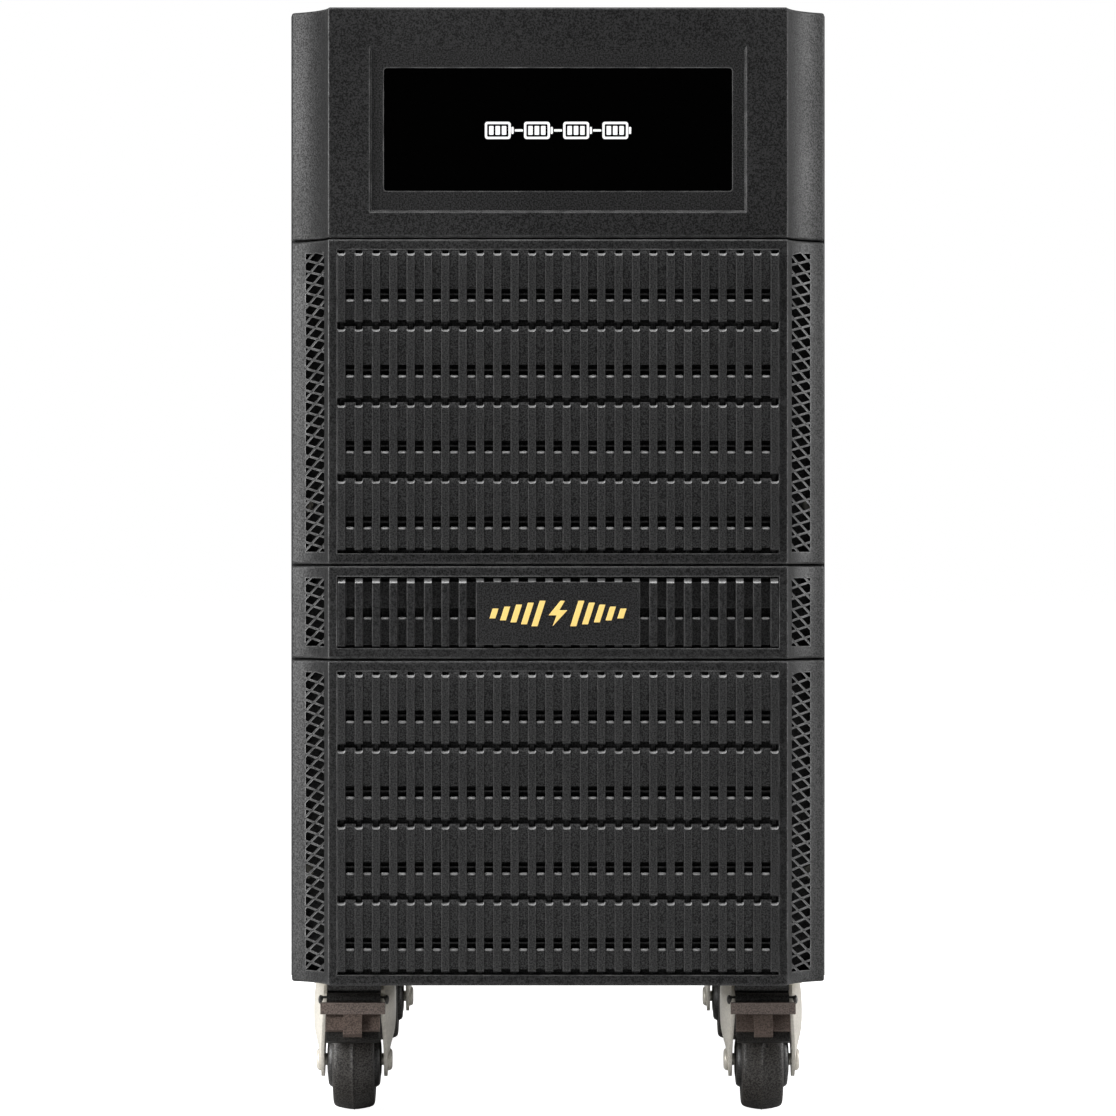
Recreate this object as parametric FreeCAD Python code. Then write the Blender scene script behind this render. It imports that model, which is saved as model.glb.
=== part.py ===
import FreeCAD, Part
import math
import os

from FreeCAD import Vector

# Tower battery cabinet on four swivel castors: a sheet-steel chassis that holds four banks of ten sealed
# lead-acid blocks, behind a moulded plastic fascia of a head bezel and three louvred modules.
# Millimetres. +Z up, the front faces -Y, and the origin is on the floor under the centre of the cabinet.

# ---------------------------------------------------------------- driving dimensions
WIDTH = 262.0
DEPTH = 528.0
HEIGHT = 541.0
FRONT_Y = -DEPTH / 2
REAR_Y = DEPTH / 2
SHEET = 1.2  # chassis steel

# fascia
RIB_PROUD = 1.8  # louvre ribs stand this far in front of the fascia's face
FACE_Y = FRONT_Y + RIB_PROUD
CHASSIS_FRONT_Y = FRONT_Y + 36.0
FASCIA_HALF = WIDTH / 2 - 0.5
FACE_HALF = 111.5  # half width of the flat face, between the concave cheeks
CHEEK_RADIUS = 39.0
CHEEK_DEPTH = 28.3  # how far back each cheek runs before it meets the side
FASCIA_WALL = 2.2
EDGE_RADIUS = 0.8
RIM_RADIUS = 1.2
CORNER_RADIUS = 2.0
SEAM = 0.8
FASCIA_BOTTOM = 66.5
LOWER_TOP = 224.5
STRIP_TOP = 270.5
UPPER_TOP = 429.0
BORDER = 5.2  # flat border round a louvre opening

# louvres
RIB_COUNT = 26
RIB_PITCH = 8.4
RIB_WIDTH = 3.9
GRILLE_HALF = (RIB_PITCH * (RIB_COUNT - 1) + RIB_WIDTH) / 2
OPENING_HALF = GRILLE_HALF + 0.2
ROW_COUNT = 4
RIM_OVERLAP = 2.0
RIM_THICK = 1.5
SPINE_WIDTH = 1.6
LOUVRE_DEPTH, STRIP_LOUVRE_DEPTH = 5.4, 6.8  # from the face to the back of an insert

# diamond vents in the cheeks
VENT_INNER = 2.2  # from the cheek's front edge, sideways
VENT_WIDTH = 9.7
VENT_MARGIN = 6.0
BAR_THICK = 1.0
STEEP_SLOPE, STEEP_SPACING = -1.05, 7.4
SHALLOW_SLOPE, SHALLOW_SPACING = 0.31, 5.3

# head window
RECESS_HALF_X, RECESS_BOTTOM, RECESS_TOP = 91.4, 441.5, 522.0
RECESS_DEPTH = 1.2
WINDOW_HALF_X, WINDOW_BOTTOM, WINDOW_TOP = 84.4, 452.0, 511.5
WINDOW_THICK = 1.5
WINDOW_CORNER = 1.5
HEAD_WALL = 3.6

# chassis
CHASSIS_REAR_Y = CHASSIS_FRONT_Y + 480.0
SIDE_X = WIDTH / 2
INNER_X = SIDE_X - SHEET
BASE_Z = 72.0
BASE_THICK = 2.0
SKIRT_Z = 69.0
TOP_Z = HEIGHT - 1.0
FLANGE = 10.0
PANEL_FRONT = CHASSIS_FRONT_Y + SHEET  # inner face of the bulkhead
PANEL_REAR = CHASSIS_REAR_Y - SHEET  # inner face of the rear panel

# batteries
BLOCK_LONG, BLOCK_WIDE, BLOCK_TALL = 151.0, 65.0, 94.0
BLOCK_LID = 12.0
BLOCK_GAP = 0.8
TAB_TALL, TAB_WIDE, TAB_THICK = 6.0, 6.3, 1.0
TAB_OFFSET, TAB_INSET = 24.0, 9.0
BANK_COUNT = 4
BANK_PITCH = 103.0
BANK_X = -(BLOCK_LONG + BLOCK_WIDE + 1.0) / 2
BANK_Y = -218.0
SHELF_Z = 80.0

# castors
CASTOR_X = 101.0
FRONT_CASTOR_Y = -180.0
REAR_CASTOR_Y = 205.0
WHEEL_RADIUS = 25.0
TREAD_HALF = 10.3
HUB_HALF = 13.4
AXLE_RADIUS = 3.0
TRAIL = 18.0
PLATE_THICK = 2.2
PLATE_Z = BASE_Z - PLATE_THICK
BOLT_OFFSET = 19.0
LEG_THICK = 1.8
RUN_CLEAR = 0.05
PIVOT_Y, PIVOT_Z, PIVOT_RADIUS = -30.0, 55.5, 2.0

# rear panel fittings
TERMINAL_Z = 509.5
BREAKER_X, BREAKER_HALF_X, BREAKER_HALF_Z = -72.0, 40.5, 18.0
NOSE_HALF_X = 22.5
TOGGLE_Y = CHASSIS_REAR_Y + 1.0
OUTLET_X = (18.0, 88.0)
OUTLET_HALF_X, OUTLET_HALF_Z = 22.0, 12.0
STUD_X, STUD_Z, STUD_RADIUS = 0.0, 102.0, 3.0
STUD_SHANK = 2.5  # radius at the root of the thread, inside the panel and the nut


# ---------------------------------------------------------------- small helpers
def box(x0, x1, y0, y1, z0, z1):
    return Part.makeBox(x1 - x0, y1 - y0, z1 - z0, Vector(x0, y0, z0))


def rod(radius, start, end):
    axis = Vector(*end) - Vector(*start)
    return Part.makeCylinder(radius, axis.Length, Vector(*start), axis)


def prism(points, along, length):
    """The closed polygon through points, swept by length along the axis named."""
    wire = Part.makePolygon([Vector(*p) for p in points] + [Vector(*points[0])])
    direction = {"x": Vector(length, 0, 0), "y": Vector(0, length, 0), "z": Vector(0, 0, length)}[along]
    return Part.Face(wire).extrude(direction)


def profile_x(points_yz, x0, x1):
    return prism([(x0, y, z) for y, z in points_yz], "x", x1 - x0)


def rounded_plate(half_x, z0, z1, y0, y1, radius):
    """An upright plate with rounded corners, thin along Y."""
    plate = box(-half_x, half_x, y0, y1, z0, z1)
    corners = [e for e in plate.Edges if abs(e.tangentAt(e.FirstParameter).y) > 0.99]
    return plate.makeFillet(radius, corners)


def union(shapes):
    return shapes[0].multiFuse(shapes[1:]).removeSplitter() if len(shapes) > 1 else shapes[0]


def moved(shape, x, y, z):
    copy = shape.copy()
    copy.translate(Vector(x, y, z))
    return copy


def mirrored(shape):
    return shape.mirror(Vector(0, 0, 0), Vector(1, 0, 0))


def export(name, shape):
    """Writes one node and says what is in it."""
    solids = shape.Solids
    whole = Part.makeCompound(solids) if len(solids) > 1 else solids[0]
    valid = all(s.isValid() and s.isClosed() for s in solids)
    whole.exportStep(f"parts/{name}.step")
    volume = sum(s.Volume for s in solids) / 1000
    print(f"{name}: {len(solids)} solids, {len(whole.Faces)} faces, {volume:.1f} cm3, valid {valid}")


# ---------------------------------------------------------------- fascia
def cheek_centre():
    """Centre of the right cheek's arc, which runs from the face's edge to the side."""
    start, end = Vector(FACE_HALF, FACE_Y, 0), Vector(FASCIA_HALF, FACE_Y + CHEEK_DEPTH, 0)
    chord = end - start
    rise = math.sqrt(CHEEK_RADIUS**2 - (chord.Length / 2) ** 2)
    outward = Vector(chord.y, -chord.x, 0).normalize()
    return start + chord * 0.5 + outward * rise


CHEEK_CENTRE = cheek_centre()


def cheek_y(x, inset=0.0):
    return CHEEK_CENTRE.y + math.sqrt((CHEEK_RADIUS + inset) ** 2 - (CHEEK_CENTRE.x - x) ** 2)


def cheek_x(y, inset=0.0):
    return CHEEK_CENTRE.x - math.sqrt((CHEEK_RADIUS + inset) ** 2 - (y - CHEEK_CENTRE.y) ** 2)


def fascia_block(z0, z1, inset, front_inset, back_y):
    """The fascia's plan outline, drawn in by a wall thickness, between two heights."""
    front_y = FACE_Y + front_inset
    side_x = FASCIA_HALF - inset
    front_x = cheek_x(front_y, inset)
    side_y = cheek_y(side_x, inset)
    mid_x = (front_x + side_x) / 2 - 2.0
    mid_y = cheek_y(mid_x, inset)
    edges = [
        Part.LineSegment(Vector(-front_x, front_y, z0), Vector(front_x, front_y, z0)),
        Part.Arc(Vector(front_x, front_y, z0), Vector(mid_x, mid_y, z0), Vector(side_x, side_y, z0)),
        Part.LineSegment(Vector(side_x, side_y, z0), Vector(side_x, back_y, z0)),
        Part.LineSegment(Vector(side_x, back_y, z0), Vector(-side_x, back_y, z0)),
        Part.LineSegment(Vector(-side_x, back_y, z0), Vector(-side_x, side_y, z0)),
        Part.Arc(Vector(-side_x, side_y, z0), Vector(-mid_x, mid_y, z0), Vector(-front_x, front_y, z0)),
    ]
    return Part.Face(Part.Wire([e.toShape() for e in edges])).extrude(Vector(0, 0, z1 - z0))


def upright_edges(shape, x):
    found = []
    for edge in shape.Edges:
        ends = [v.Point for v in edge.Vertexes]
        if len(ends) == 2 and all(abs(abs(p.x) - x) < 0.01 for p in ends) and abs(ends[0].z - ends[1].z) > 1:
            if all(p.y < CHASSIS_FRONT_Y - 0.1 for p in ends):
                found.append(edge)
    return found


def rim_edges(shape, z0, z1):
    """The edges round the top and bottom, apart from the two along the back."""
    found = []
    for edge in shape.Edges:
        level = [v.Point.z for v in edge.Vertexes]
        flat = max(level) - min(level) < 0.01 and min(abs(level[0] - z0), abs(level[0] - z1)) < 0.01
        at_back = all(abs(v.Point.y - CHASSIS_FRONT_Y) < 0.01 for v in edge.Vertexes)
        if flat and not at_back:
            found.append(edge)
    return found


def fascia_shell(z0, z1, front_wall=FASCIA_WALL):
    """A moulded module, open at the back, with a stub boss in each corner that meets the bulkhead."""
    outer = fascia_block(z0, z1, 0.0, 0.0, CHASSIS_FRONT_Y)
    outer = outer.makeFillet(CORNER_RADIUS, upright_edges(outer, FASCIA_HALF))
    outer = outer.makeFillet(EDGE_RADIUS, upright_edges(outer, FACE_HALF))
    outer = outer.makeFillet(RIM_RADIUS, rim_edges(outer, z0, z1))
    inner = fascia_block(z0 + FASCIA_WALL, z1 - FASCIA_WALL, FASCIA_WALL, front_wall, CHASSIS_FRONT_Y + 1)
    shell = outer.cut(inner)
    boss_x, boss_radius = 122.0, 3.0
    boss_y = cheek_y(boss_x + boss_radius) + 0.8
    for x in (-boss_x, boss_x):
        for z in (z0 + 7.0, z1 - 7.0):
            shell = shell.fuse(rod(boss_radius, (x, boss_y, z), (x, CHASSIS_FRONT_Y, z)))
    return shell


def vent_bars(x0, x1, z0, z1, slope, spacing):
    """Parallel sloping bars that cross a vent, as prisms along Y."""
    reach = x1 - x0 + 2.0
    tall = BAR_THICK * math.sqrt(1 + slope**2)
    bars = []
    z = z0 - abs(slope) * reach
    while z < z1 + abs(slope) * reach:
        corners = [(x0 - 1, z), (x1 + 1, z + slope * reach)]
        outline = [(x, FACE_Y - 2, h) for x, h in corners]
        outline += [(x, FACE_Y - 2, h + tall) for x, h in reversed(corners)]
        bars.append(prism(outline, "y", 40.0))
        z += spacing
    return bars


def diamond_holes(z0, z1):
    """The right cheek's vent openings, which run straight back through the wall."""
    x0 = FACE_HALF + VENT_INNER
    x1 = x0 + VENT_WIDTH
    region = box(x0, x1, FACE_Y - 1, CHASSIS_FRONT_Y - 1, z0 + VENT_MARGIN, z1 - VENT_MARGIN)
    bars = vent_bars(x0, x1, z0, z1, STEEP_SLOPE, STEEP_SPACING)
    bars += vent_bars(x0, x1, z0, z1, SHALLOW_SLOPE, SHALLOW_SPACING)
    return region.cut(bars)


def fascia_frame(z0, z1):
    """A louvred module's frame: a shell with an opening in the face and a vent in each cheek."""
    shell = fascia_shell(z0, z1)
    opening = box(-OPENING_HALF, OPENING_HALF, FACE_Y - 1, FACE_Y + FASCIA_WALL + 1, z0 + BORDER, z1 - BORDER)
    holes = diamond_holes(z0, z1)
    return shell.cut([opening, holes, mirrored(holes)])


def rib_left(index):
    return -GRILLE_HALF + index * RIB_PITCH


def louvre_rim(z0, z1):
    """The flange behind the frame's border that locates a louvre insert."""
    y0, y1 = FACE_Y + FASCIA_WALL, FACE_Y + FASCIA_WALL + RIM_THICK
    edge = OPENING_HALF + RIM_OVERLAP
    outer = box(-edge, edge, y0, y1, z0 - RIM_OVERLAP, z1 + RIM_OVERLAP)
    return outer.cut(box(-GRILLE_HALF, GRILLE_HALF, y0 - 1, y1 + 1, z0 + 0.2, z1 - 0.2))


def louvre_spines(z0, z1, y0, y1):
    offset = (RIB_WIDTH - SPINE_WIDTH) / 2
    return [
        box(rib_left(i) + offset, rib_left(i) + offset + SPINE_WIDTH, y0, y1, z0 - 1, z1 + 1)
        for i in range(RIB_COUNT)
    ]


def four_row_louvre(z0, z1):
    """Rows of sloping blades crossed by proud ribs. Each rib starts under a notch in the blade above it."""
    row = (z1 - z0) / ROW_COUNT
    upper_blade = [(0.2, -0.3), (1.4, -18.9), (3.2, -18.9), (2.2, -0.3)]
    lower_blade = [(1.6, -24.0), (0.2, -25.6), (0.2, -34.0), (2.4, -34.0), (3.4, -24.0)]
    inner_bar = [(3.6, -21.0), (3.6, -21.7), (5.2, -21.7), (5.2, -21.0)]
    rib = [(0.6, -2.9), (-RIB_PROUD, -4.5), (-RIB_PROUD, -34.8), (0.4, -35.4), (5.0, -35.4), (5.0, -2.9)]
    shapes = []
    for r in range(ROW_COUNT):
        top = z1 - r * row

        def placed(points):
            return [(FACE_Y + d, top + t) for d, t in points]

        notches = [
            box(rib_left(i), rib_left(i) + RIB_WIDTH, FACE_Y - 3, FACE_Y + 6, top - 2.9, top + 1)
            for i in range(RIB_COUNT)
        ]
        shapes.append(profile_x(placed(upper_blade), -GRILLE_HALF, GRILLE_HALF).cut(notches))
        shapes.append(profile_x(placed(lower_blade), -GRILLE_HALF, GRILLE_HALF))
        shapes.append(profile_x(placed(inner_bar), -GRILLE_HALF, GRILLE_HALF))
        first = profile_x(placed(rib), rib_left(0), rib_left(0) + RIB_WIDTH)
        shapes += [moved(first, i * RIB_PITCH, 0, 0) for i in range(RIB_COUNT)]
    shapes += louvre_spines(z0, z1, FACE_Y + FASCIA_WALL + 0.5, FACE_Y + LOUVRE_DEPTH)
    return union([louvre_rim(z0, z1)] + shapes)


def strip_louvre(z0, z1):
    """One row of ribs, flush with the face, in front of two recessed blades."""
    upper_blade = [(3.4, -2.6), (4.0, -15.3), (5.6, -15.3), (5.2, -2.6)]
    lower_blade = [(4.6, -19.6), (3.2, -21.0), (3.2, -33.2), (5.4, -33.2), (6.0, -19.6)]
    rib = [(2.6, -0.8), (0.0, -3.2), (0.0, -33.6), (0.6, -34.4), (6.4, -34.4), (6.4, -0.8)]
    placed = [[(FACE_Y + d, z1 + t) for d, t in points] for points in (upper_blade, lower_blade, rib)]
    shapes = [profile_x(points, -GRILLE_HALF, GRILLE_HALF) for points in placed[:2]]
    first = profile_x(placed[2], rib_left(0), rib_left(0) + RIB_WIDTH)
    shapes += [moved(first, i * RIB_PITCH, 0, 0) for i in range(RIB_COUNT)]
    shapes += louvre_spines(z0, z1, FACE_Y + FASCIA_WALL + 0.5, FACE_Y + STRIP_LOUVRE_DEPTH)
    return union([louvre_rim(z0, z1)] + shapes)


def head_bezel(z0, z1):
    """The top module: a shallow sloped recess round the window, with a pocket that the window is bonded into."""
    shell = fascia_shell(z0, z1, front_wall=HEAD_WALL)
    slope, top_slope = 0.7, 2.4
    floor_y = FACE_Y + RECESS_DEPTH
    outer = [(-RECESS_HALF_X, RECESS_BOTTOM), (RECESS_HALF_X, RECESS_BOTTOM)]
    outer += [(RECESS_HALF_X, RECESS_TOP), (-RECESS_HALF_X, RECESS_TOP)]
    left, right = -RECESS_HALF_X + slope, RECESS_HALF_X - slope
    low, high = RECESS_BOTTOM + slope, RECESS_TOP - top_slope
    inner = [(left, low), (right, low), (right, high), (left, high)]
    wires = []
    for y, points in ((FACE_Y, outer), (floor_y, inner)):
        corners = [Vector(x, y, z) for x, z in points]
        wires.append(Part.makePolygon(corners + corners[:1]))
    recess = Part.makeLoft(wires, True, True)
    pocket = rounded_plate(WINDOW_HALF_X + 0.1, WINDOW_BOTTOM - 0.1, WINDOW_TOP + 0.1, floor_y - 1,
                           floor_y + WINDOW_THICK, WINDOW_CORNER)
    through = box(-WINDOW_HALF_X + 6, WINDOW_HALF_X - 6, FACE_Y, FACE_Y + HEAD_WALL + 1,
                  WINDOW_BOTTOM + 6, WINDOW_TOP - 6)
    return shell.cut([recess, pocket, through])


def window_panel():
    floor_y = FACE_Y + RECESS_DEPTH
    return rounded_plate(WINDOW_HALF_X, WINDOW_BOTTOM, WINDOW_TOP, floor_y, floor_y + WINDOW_THICK, WINDOW_CORNER)


def badge_plate(z0, z1):
    """The plain name plate across the middle ribs of the strip module."""
    x0, x1 = rib_left(8), rib_left(17) + RIB_WIDTH
    plate = box(x0, x1, FACE_Y - 1.0, FACE_Y, z0 + 1.6, z1 - 2.6)
    front = [e for e in plate.Edges if all(abs(v.Point.y - (FACE_Y - 1.0)) < 0.01 for v in e.Vertexes)]
    return plate.makeFillet(0.3, front)


def dust_filter(z0, z1, depth):
    y0 = FACE_Y + depth
    return box(-GRILLE_HALF + 0.5, GRILLE_HALF - 0.5, y0, y0 + 2.0, z0, z1)


def build_fascia():
    gap = SEAM / 2
    modules = {
        "lower": (FASCIA_BOTTOM, LOWER_TOP - gap),
        "strip": (LOWER_TOP + gap, STRIP_TOP - gap),
        "upper": (STRIP_TOP + gap, UPPER_TOP - gap),
    }
    filters = []
    for name, (z0, z1) in modules.items():
        export(f"{name}_fascia_frame", fascia_frame(z0, z1))
        low, high = z0 + BORDER, z1 - BORDER
        if name == "strip":
            export("strip_louvre", strip_louvre(low, high))
            filters.append(dust_filter(low, high, STRIP_LOUVRE_DEPTH))
        else:
            export(f"{name}_louvre", four_row_louvre(low, high))
            filters.append(dust_filter(low, high, LOUVRE_DEPTH))
    z0, z1 = modules["strip"]
    export("badge_plate", badge_plate(z0 + BORDER, z1 - BORDER))
    export("dust_filters", Part.makeCompound(filters))
    export("head_bezel", head_bezel(UPPER_TOP + gap, HEIGHT))
    export("window_panel", window_panel())


# ---------------------------------------------------------------- chassis
SCREW_RADIUS = 2.0
SCREW_HOLE = 2.1
SIDE_SCREW_Z = (120.0, 300.0, 480.0)
SIDE_SCREW_X = INNER_X - 6.0
END_SCREW_X = 70.0
END_SCREW_Z = (BASE_Z + BASE_THICK + 2.6, TOP_Z - SHEET - 5.5)


def screw_places():
    """(x, z) of the screws that hold the bulkhead and the rear panel."""
    places = [(side * SIDE_SCREW_X, z) for side in (-1, 1) for z in SIDE_SCREW_Z]
    return places + [(side * END_SCREW_X, z) for side in (-1, 1) for z in END_SCREW_Z]


def screw_holes():
    return [rod(SCREW_HOLE, (x, y - 3, z), (x, y + 3, z))
            for x, z in screw_places() for y in (PANEL_FRONT, PANEL_REAR)]


def panel_screws():
    """Pan-head screws at the rear, whose heads show, and at the front, behind the fascia."""
    head_radius, head_tall, length = 3.8, 2.2, 5.0
    screws = []
    for x, z in screw_places():
        for face, outward in ((CHASSIS_FRONT_Y, -1), (CHASSIS_REAR_Y, 1)):
            head = rod(head_radius, (x, face, z), (x, face + outward * head_tall, z))
            rim = [e for e in head.Edges if abs(e.CenterOfMass.y - face) > head_tall - 0.01]
            head = head.makeFillet(1.2, [e for e in rim if e.Length > 10])
            slot_y = sorted((face + outward * (head_tall - 0.7), face + outward * (head_tall + 0.5)))
            head = head.cut(box(x - 2.4, x + 2.4, *slot_y, z - 0.4, z + 0.4))
            head = head.cut(box(x - 0.4, x + 0.4, *slot_y, z - 2.4, z + 2.4))
            screws.append(head.fuse(rod(SCREW_RADIUS, (x, face, z), (x, face - outward * length, z))))
    return Part.makeCompound(screws)


def tray(z_plate, plate_thick, flange_up):
    """A plate with flanges on four sides, turned up for the base and down for the top."""
    x, y0, y1 = INNER_X, PANEL_FRONT, PANEL_REAR
    plate = box(-x, x, y0, y1, z_plate, z_plate + plate_thick)
    f0, f1 = (z_plate, z_plate + plate_thick + FLANGE) if flange_up else (z_plate - FLANGE, z_plate + plate_thick)
    outer = box(-x, x, y0, y1, f0, f1)
    rim = outer.cut(box(-x + SHEET, x - SHEET, y0 + SHEET, y1 - SHEET, f0 - 1, f1 + 1))
    return plate.fuse(rim).removeSplitter().cut(screw_holes())


def castor_places():
    return {
        "front_left": (-CASTOR_X, FRONT_CASTOR_Y),
        "front_right": (CASTOR_X, FRONT_CASTOR_Y),
        "rear_left": (-CASTOR_X, REAR_CASTOR_Y),
        "rear_right": (CASTOR_X, REAR_CASTOR_Y),
    }


def bolt_places():
    return [
        (x + dx, y + dy)
        for x, y in castor_places().values()
        for dx in (-BOLT_OFFSET, BOLT_OFFSET)
        for dy in (-BOLT_OFFSET, BOLT_OFFSET)
    ]


def base_tray():
    holes = [rod(2.6, (x, y, BASE_Z - 1), (x, y, BASE_Z + 3)) for x, y in bolt_places()]
    return tray(BASE_Z, BASE_THICK, True).cut(holes)


def slot_grid(xs, zs, y, half_x, half_z):
    """Round-ended ventilation slots through a wall that is thin along Y."""
    slots = []
    for x in xs:
        for z in zs:
            ends = [rod(half_z, (x + e * (half_x - half_z), y - 3, z), (x + e * (half_x - half_z), y + 3, z))
                    for e in (-1, 1)]
            middle = box(x - half_x + half_z, x + half_x - half_z, y - 3, y + 3, z - half_z, z + half_z)
            slots.append(middle.fuse(ends).removeSplitter())
    return slots


def side_panel():
    """The right side: a flat sheet with a flange inward at each end, slotted low down for air."""
    sheet = box(INNER_X, SIDE_X, CHASSIS_FRONT_Y, CHASSIS_REAR_Y, SKIRT_Z, TOP_Z)
    z0, z1 = BASE_Z + 14.0, TOP_Z - 14.0
    flange_x = INNER_X - 12.0
    flanges = [
        box(flange_x, INNER_X, PANEL_FRONT, PANEL_FRONT + SHEET, z0, z1),
        box(flange_x, INNER_X, PANEL_REAR - SHEET, PANEL_REAR, z0, z1),
    ]
    slots = []
    slot_half, slot_thick, pitch = 14.0, 1.5, 7.0
    for column_y in (90.0, 130.0, 170.0):
        for i in range(9):
            z = 130.0 + i * pitch
            slots.append(box(INNER_X - 1, SIDE_X + 1, column_y - slot_half, column_y + slot_half,
                             z - slot_thick, z + slot_thick))
    return sheet.multiFuse(flanges).removeSplitter().cut(screw_holes()).cut(slots)


def front_bulkhead():
    """The steel wall that the fascia clips to, slotted behind each louvre."""
    wall = box(-INNER_X, INNER_X, CHASSIS_FRONT_Y, PANEL_FRONT, FASCIA_BOTTOM + FASCIA_WALL, TOP_Z)
    columns = [-78.0, -26.0, 26.0, 78.0]
    rows = [z0 + 12.0 * i for z0 in (92.0, 298.0) for i in range(10)]
    slots = slot_grid(columns, rows, PANEL_FRONT, 20.0, 2.0)
    return wall.cut(screw_holes()).cut(slots)


def rear_panel():
    wall = box(-INNER_X, INNER_X, PANEL_REAR, CHASSIS_REAR_Y, BASE_Z, TOP_Z)
    rows = [z0 + 9.0 * i for z0 in (130.0, 250.0) for i in range(8)]
    slots = slot_grid([-60.0, -20.0, 20.0, 60.0], rows, PANEL_REAR, 16.0, 2.0)
    y0, y1 = PANEL_REAR - 3, CHASSIS_REAR_Y + 3
    cuts = [box(BREAKER_X - NOSE_HALF_X - 0.2, BREAKER_X + NOSE_HALF_X + 0.2, y0, y1,
                TERMINAL_Z - BREAKER_HALF_Z - 0.2, TERMINAL_Z + BREAKER_HALF_Z + 0.2)]
    for x in OUTLET_X:
        cuts.append(box(x - OUTLET_HALF_X - 0.2, x + OUTLET_HALF_X + 0.2, y0, y1,
                        TERMINAL_Z - OUTLET_HALF_Z - 0.2, TERMINAL_Z + OUTLET_HALF_Z + 0.2))
    cuts.append(rod(STUD_SHANK + 0.1, (STUD_X, y0, STUD_Z), (STUD_X, y1, STUD_Z)))
    return wall.cut(screw_holes()).cut(slots).cut(cuts)


def shelf(z, x):
    """A battery shelf of half width x: lips up at the front and rear, flanges down at the sides."""
    y0, y1 = PANEL_FRONT + 1.6, PANEL_REAR - 1.6
    inset, drop = 16.0, SHELF_Z - SHEET - BASE_Z - BASE_THICK
    plate = box(-x, x, y0, y1, z, z + SHEET)
    lips = [box(-x + inset, x - inset, y, y + SHEET, z, z + FLANGE) for y in (y0, y1 - SHEET)]
    sides = [box(x0, x0 + SHEET, y0 + inset, y1 - inset, z - drop, z + SHEET) for x0 in (-x, x - SHEET)]
    holes = [rod(6.0, (hx, hy, z - 1), (hx, hy, z + 3)) for hx in (-60, 0, 60) for hy in (-150, -50, 50, 150)]
    return plate.multiFuse(lips + sides).removeSplitter().cut(holes)


def build_chassis():
    export("base_tray", base_tray())
    right = side_panel()
    export("right_side_panel", right)
    export("left_side_panel", mirrored(right))
    export("top_cover", tray(TOP_Z - SHEET, SHEET, False))
    export("front_bulkhead", front_bulkhead())
    export("rear_panel", rear_panel())
    export("panel_screws", panel_screws())
    for k in range(BANK_COUNT):
        half_x = INNER_X if k > 0 else INNER_X - SHEET - 0.2
        export(f"battery_shelf_{k + 1}", shelf(SHELF_Z + k * BANK_PITCH - SHEET, half_x))


# ---------------------------------------------------------------- batteries
def block(x, y, z, long_x, long_y):
    """One sealed block: a case and a slightly smaller lid with softened edges."""
    case = box(x, x + long_x, y, y + long_y, z, z + BLOCK_TALL - BLOCK_LID)
    inset = 1.0
    lid = box(x + inset, x + long_x - inset, y + inset, y + long_y - inset,
              z + BLOCK_TALL - BLOCK_LID, z + BLOCK_TALL)
    top = [e for e in lid.Edges if all(abs(v.Point.z - z - BLOCK_TALL) < 0.01 for v in e.Vertexes)]
    return case.fuse(lid.makeChamfer(1.0, top))


def block_places():
    """(x, y, size along x, size along y) of the ten blocks on a shelf: seven across, then three along."""
    places = [(BANK_X, BANK_Y + i * (BLOCK_WIDE + BLOCK_GAP), BLOCK_LONG, BLOCK_WIDE) for i in range(7)]
    x = BANK_X + BLOCK_LONG + 1.0
    return places + [(x, BANK_Y + i * (BLOCK_LONG + BLOCK_GAP), BLOCK_WIDE, BLOCK_LONG) for i in range(3)]


def tab_places():
    """The two terminals of each block, (x, y), in the order of block_places."""
    places = []
    for i, (x, y, size_x, size_y) in enumerate(block_places()):
        if size_x > size_y:
            places.append([(x + TAB_INSET, y + size_y / 2 + s * TAB_OFFSET) for s in (-1, 1)])
        else:
            end_y = y + size_y - TAB_INSET if i == 7 else y + TAB_INSET
            places.append([(x + size_x / 2 + s * TAB_OFFSET, end_y) for s in (-1, 1)])
    return places


def terminals_and_links(z):
    """Blade terminals on the lids, and the insulated links that put a bank's blocks in series."""
    tabs, links = [], []
    places = tab_places()
    top = z + BLOCK_TALL
    for pair in places:
        for x, y in pair:
            tabs.append(box(x - TAB_WIDE / 2, x + TAB_WIDE / 2, y - TAB_THICK / 2, y + TAB_THICK / 2,
                            top, top + TAB_TALL))
    link_z, link_radius = top + 3.0, 2.2
    for a, b in zip(places[:6], places[1:7]):
        start, end = a[1][1] + TAB_THICK / 2, b[0][1] - TAB_THICK / 2
        links.append(rod(link_radius, (a[1][0], start, link_z), (a[1][0], end, link_z)))
    x, start = places[7][1][0], places[7][1][1] + TAB_THICK / 2
    links.append(rod(link_radius, (x, start, link_z), (x, places[8][1][1] - TAB_THICK / 2, link_z)))
    x, start = places[8][0][0], places[8][0][1] + TAB_THICK / 2
    links.append(rod(link_radius, (x, start, link_z), (x, places[9][0][1] - TAB_THICK / 2, link_z)))
    return tabs, links


def hold_down_bars(z):
    """Two flat bars across a bank, resting on the lids between the terminals."""
    top = z + BLOCK_TALL
    centres = [BANK_Y + i * (BLOCK_WIDE + BLOCK_GAP) + BLOCK_WIDE / 2 for i in (1, 5)]
    return [box(-INNER_X + 3, INNER_X - 3, y - 6, y + 6, top, top + 1.5) for y in centres]


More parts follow.
